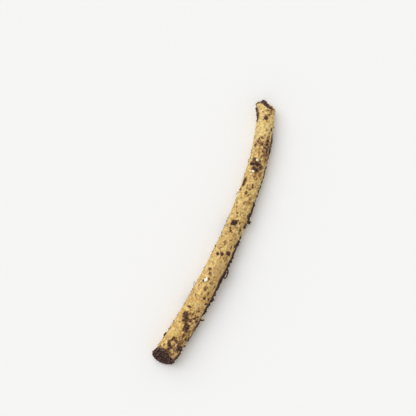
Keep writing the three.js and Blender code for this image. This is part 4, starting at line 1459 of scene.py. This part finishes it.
# Thin crumbs that stick out of the cut. Each is its place across and up the cut, its lean to the side in
# degrees, and its length.
SPIKES = [
    (0.9, 1.6, -50, 2.4), (1.2, 2.6, -12, 2.5), (1.9, 0.6, 14, 2.7), (2.6, 2.2, 42, 2.4), (1.6, -1.8, 0, 1.8),
]
SPIKE_HALF_WIDTHS = (0.36, 0.3)
SPIKE_SLOPE = 0.12  # every spike also leans this much up the cut
SPIKE_MIDDLE = 0.45  # a spike's middle stands this share of its length above the cut
SPIKE_FOOT, FOOT_MIDDLE = (0.7, 0.6, 0.6), 0.2  # the half sizes of the crumb it stands on, and its height

tip = bmesh.new()
for dab in SHOULDER_RIM:
    add_dab(tip, rolls, dab)
middle, side, slope, out = crown_face
for across, up, lean, length in SPIKES:
    turn = math.radians(lean)
    way = out * math.cos(turn) + side * math.sin(turn) + SPIKE_SLOPE * slope
    foot = middle + (side * across + slope * up) * MM
    sizes = (*SPIKE_HALF_WIDTHS, CRUMB_RISE * length)
    add_crumb(tip, rolls, foot + way * SPIKE_MIDDLE * length * MM, way, sizes)
    add_crumb(tip, rolls, foot + out * FOOT_MIDDLE * MM, out, SPIKE_FOOT)
finish_soil(fuse(tip, "soil_crumb_crown_tip_crumbs"), "soil_crumb_crown_tip", 0.5)
print("faces at the crown's tip:", soil_pieces["soil_crumb_crown_tip_crumbs"])

# %% [markdown]
# ## Loose crumbs and dust
#
# Between the crusts lie single crumbs and grains of dust. There are hundreds, so each dust grain is an
# icosphere of only 20 faces. Most lie close to a crust, where they broke off, and on the outside of the bow.

# %% Loose crumbs and dust
DUST_NEAR_CRUSTS = 420
DUST_ANYWHERE = 330
OUTSIDE_ANGLES = (95, 25)  # about half of that dust lies on the outside: middle and spread, in degrees
DUST_ON_TAIL = 130
TAIL_PLACES, TAIL_ANGLES = (172, 12), (32, 24)  # the same of its distances and of its angles
TAIL_DUST_ENDS = ROOT_LENGTH - 8
DUST_SIZES = (0.13, 0.3)
DUST_HEIGHT, DUST_RISE = 0.8, 0.3  # a grain's half height and its middle's height, as shares of its half size
DUST_SPREAD, DUST_BEYOND = 0.8, (1.0, 1.2)  # it is scattered this far past a crumb, along and round the root
FIRST_DUST, LAST_DUST = 1.5, ROOT_LENGTH - 6
LOOSE_VOXEL = 0.15 * MM
LOOSE_ROUGHNESS = 0.1
USUAL_RADIUS = 7  # of the root, to turn a distance round it into an angle

rolls = random.Random(8)
loose = bmesh.new()
for dab in LOOSE_CRUMBS:
    add_dab(loose, rolls, dab)
finish_soil(fuse(loose, "soil_loose_crumbs", LOOSE_VOXEL, LOOSE_ROUGHNESS))


def add_dust(form, rolls, s, degrees):
    """One grain of dust, part sunk in the skin."""
    size = rolls.uniform(*DUST_SIZES)
    point, out = seat(s, degrees)
    sizes = (size, size * rolls.uniform(*CRUMB_NARROWNESS), size * DUST_HEIGHT)
    add_crumb(form, rolls, point + out * DUST_RISE * size * MM, out, sizes, faces=1)


dust = bmesh.new()
for _ in range(DUST_NEAR_CRUSTS):
    s, degrees, half_length, half_width, _ = rolls.choice(all_crumbs)
    degrees_wide = math.degrees((half_width + DUST_BEYOND[1]) / USUAL_RADIUS)
    place = s + rolls.gauss(0, DUST_SPREAD) * (half_length + DUST_BEYOND[0])
    degrees += rolls.gauss(0, DUST_SPREAD) * degrees_wide
    add_dust(dust, rolls, min(max(place, FIRST_DUST), LAST_DUST), degrees)
for _ in range(DUST_ANYWHERE):
    degrees = rolls.choice((rolls.uniform(-180, 180), rolls.gauss(*OUTSIDE_ANGLES)))
    add_dust(dust, rolls, rolls.uniform(FIRST_DUST, LAST_DUST), degrees)
for _ in range(DUST_ON_TAIL):
    add_dust(dust, rolls, min(rolls.gauss(*TAIL_PLACES), TAIL_DUST_ENDS), rolls.gauss(*TAIL_ANGLES))
dust_mesh = bpy.data.meshes.new("soil_dust")
dust.to_mesh(dust_mesh)
dust.free()
bpy.data.meshes.remove(one_crumb)
dust_piece = bpy.data.objects.new("soil_dust", dust_mesh)
scene.collection.objects.link(dust_piece)
store(dust_mesh, "height_for_painted_light", np.full(len(dust_mesh.vertices), 0.5))  # level with their surroundings
finish_soil(dust_piece)
print("faces in the loose crumbs and the dust:", soil_pieces["soil_loose_crumbs"], soil_pieces["soil_dust"])

# %% [markdown]
# ## Perlite
#
# Gardeners mix perlite, a white puffed glass, into the soil. Three bits of it stuck to this root: two round
# grains and a flat chip. Each starts from a fine icosphere, which noise gives the lumps and pits of broken
# foam, and which is then stretched to about its CAD piece's size.

# %% Perlite
perlite_material, perlite, perlite_shader = new_material("perlite", 0.8)
perlite_place = object_place(perlite)
white = mix(perlite, blotch(perlite, perlite_place, 0.7), colour(250, 247, 232), colour(255, 255, 252))
white = layer(perlite, white, speck(perlite, perlite_place, 0.5, 0.12, 0.3), 0.3, colour(176, 160, 132))
white = mix(perlite, attribute(perlite, "stained"), white, colour(226, 212, 158))
plug(perlite, perlite_shader.inputs["Base Color"], white)
bumpy(perlite, perlite_shader, speck(perlite, perlite_place, 0.3, 0.13, 0.8), -0.04)
print("nodes in the perlite:", len(perlite.nodes))

# %% The bits of perlite
PERLITE_SINK = 0.35  # how far each bit is sunk in the skin
LUMPINESS, PITTING = 0.22, 0.06
LUMPS, PITS = 1.5, 6  # how closely the lumps and the pits lie
DIAMOND_BLUNTNESS = 0.15
# Each is its CAD piece, its half sizes along, across and up, how far it is turned, whether it is a diamond,
# how far brown water has stained it, and how far down the root it lies from the middle of its CAD piece.
PERLITE_BITS = [
    ("perlite_grain_first", (1.0, 1.0, 0.75), 10, False, 0.6, 0.45),
    ("perlite_grain_second", (0.95, 0.95, 0.7), -25, False, 0.4, 0.4),
    ("perlite_chip", (2.35, 1.5, 0.5), -4, True, 0.2, 0.0),
]
for node_name, half_size, turn, diamond, stain, slip in PERLITE_BITS:
    corners = points_of(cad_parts[node_name].data)
    s, angle, _ = where_on_root(corners.mean(0))
    s = s + slip
    point, out = seat(s, math.degrees(angle))
    along = Vector(axis_at(float(s))[1])
    side = out.cross(along)
    grain_form = bmesh.new()
    verts = bmesh.ops.create_icosphere(grain_form, subdivisions=4, radius=1.0)["verts"]
    for vert in verts:
        flat = abs(vert.co.x) + abs(vert.co.y) + DIAMOND_BLUNTNESS
        pointed = vert.co.length / flat if diamond else 1.0
        vert.co.xy *= pointed
        lump = noise.noise(vert.co * LUMPS + Vector((s, 0, 0)))
        vert.co *= 1 + LUMPINESS * lump + PITTING * noise.noise(vert.co * PITS)
    axes = Matrix((along, side, out)).transposed().to_4x4()
    place = Matrix.Translation(point + out * (half_size[2] - PERLITE_SINK) * MM) @ axes
    place = place @ Matrix.Rotation(math.radians(turn), 4, "Z")
    place = place @ Matrix.Diagonal((*(Vector(half_size) * MM), 1))
    bmesh.ops.transform(grain_form, matrix=place, verts=verts)
    bmesh.ops.recalc_face_normals(grain_form, faces=grain_form.faces)
    grain_mesh = bpy.data.meshes.new(node_name + "_puffed")
    grain_form.to_mesh(grain_mesh)
    grain_form.free()
    store(grain_mesh, "stained", np.full(len(grain_mesh.vertices), stain))
    grain_mesh.materials.append(perlite_material)
    grain_piece = bpy.data.objects.new(grain_mesh.name, grain_mesh)
    scene.collection.objects.link(grain_piece)
    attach(grain_piece, "root")
    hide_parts(node_name)
    print(node_name, "at s", round(float(s), 1), "and angle", round(math.degrees(angle)))

# %% [markdown]
# ## Hair roots
#
# Fine side roots broke off short when the root was pulled up, and one dried into a loop. They are curves with
# a round bevel that thins towards the tip, turned into one mesh so that they can be a piece of the root's
# body.

# %% Hair roots
# Each is its thickness at the foot, and a path of (s, angle in degrees, height above the skin).
HAIR_ROOTS = [
    (1.1, [(118.6, 95, -0.8), (119.4, 91, 0.7), (120.8, 84, 2.1), (122.7, 81, 2.5), (125.4, 84, 2.7),
           (126.7, 93, 1.5), (125.6, 101, 1.1), (123.4, 102, 0.5), (121.8, 97, 1.7), (121.2, 89, 2.3),
           (122, 84, 2.0)]),
    (1.4, [(160.3, 84, -0.8), (160.5, 80, 0.6), (159.6, 77, 1.7), (158.8, 76, 2.7)]),
    (0.35, [(64, -118, -0.6), (65, -116, 0.7), (66.4, -113, 1.3), (68.4, -112, 1.9)]),
    (0.35, [(101, 128, -0.6), (102, 126, 0.6), (103.4, 122, 1.0), (105, 119, 1.2)]),
    (0.35, [(142, -104, -0.6), (141, -102, 0.7), (139.6, -101, 1.3), (137.8, -100, 1.5)]),
    (0.14, [(84.6, 80, -0.3), (85, 78, 0.9), (86, 80, 1.5), (87.2, 86, 1.3)]),
    (0.12, [(3.2, 84, -0.3), (2.9, 83, 0.6), (2.4, 82, 1.2)]),
    (0.12, [(15.2, 84, -0.3), (15, 82, 0.5), (14.4, 81, 1.0)]),
    (0.12, [(170.4, -70, -0.3), (171.2, -72, 0.6), (172.4, -71, 1.0)]),
]
HAIR_TAPER = 0.35  # how much of its thickness a hair root loses by its tip
HAIR_STEPS = 5  # along the curve, between two points of its path
HAIR_ROUNDNESS = 2

hair_curve = bpy.data.curves.new("hair_roots", "CURVE")
hair_curve.dimensions = "3D"
hair_curve.bevel_depth = 0.5 * MM  # a radius, which each point multiplies by its thickness
hair_curve.bevel_resolution = HAIR_ROUNDNESS
hair_curve.resolution_u = HAIR_STEPS
hair_curve.use_fill_caps = True
for thick, path in HAIR_ROOTS:
    spline = hair_curve.splines.new("NURBS")
    spline.points.add(len(path) - 1)
    spline.use_endpoint_u = True
    spline.order_u = 4  # a cubic curve, which bends smoothly
    for index, (s, degrees, height) in enumerate(path):
        point, out = seat(s, degrees)
        spline.points[index].co = (*(point + out * height * MM), 1)
        spline.points[index].radius = thick * (1 - HAIR_TAPER * index / len(path))
hair_shape = bpy.data.objects.new("hair_shape", hair_curve)
scene.collection.objects.link(hair_shape)
hair_mesh = bpy.data.meshes.new_from_object(hair_shape.evaluated_get(bpy.context.evaluated_depsgraph_get()))
bpy.data.objects.remove(hair_shape)
hair_mesh.name = "hair_roots"
hair_mesh.materials.clear()
print("faces in the hair roots:", len(hair_mesh.polygons))

# %% The hair roots' finish
hair_material, hair, hair_shader = new_material("hair_roots", 0.75)
hair_place = object_place(hair)
bark = mix(hair, blotch(hair, hair_place, 0.9), colour(38, 25, 21), colour(78, 54, 38))
plug(hair, hair_shader.inputs["Base Color"], bark)
bumpy(hair, hair_shader, blotch(hair, hair_place, 0.2), 0.05)
hair_mesh.materials.append(hair_material)
hair_piece = bpy.data.objects.new("hair_roots", hair_mesh)
scene.collection.objects.link(hair_piece)
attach(hair_piece, "root")
print("nodes in the hair roots:", len(hair.nodes))

# %% [markdown]
# ## Checking the size
#
# How far the detailed model reaches past the CAD model's box, at each side, is printed.

# %% Size and finish
made_low, made_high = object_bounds()
sizes = {"cad_box": [list(cad_low), list(cad_high)], "visual_box": [list(made_low), list(made_high)]}
for axis in range(3):
    print("xyz"[axis], "low and high, made beyond the CAD box, in millimetres:",
          round((cad_low[axis] - made_low[axis]) / MM, 2), round((made_high[axis] - cad_high[axis]) / MM, 2))
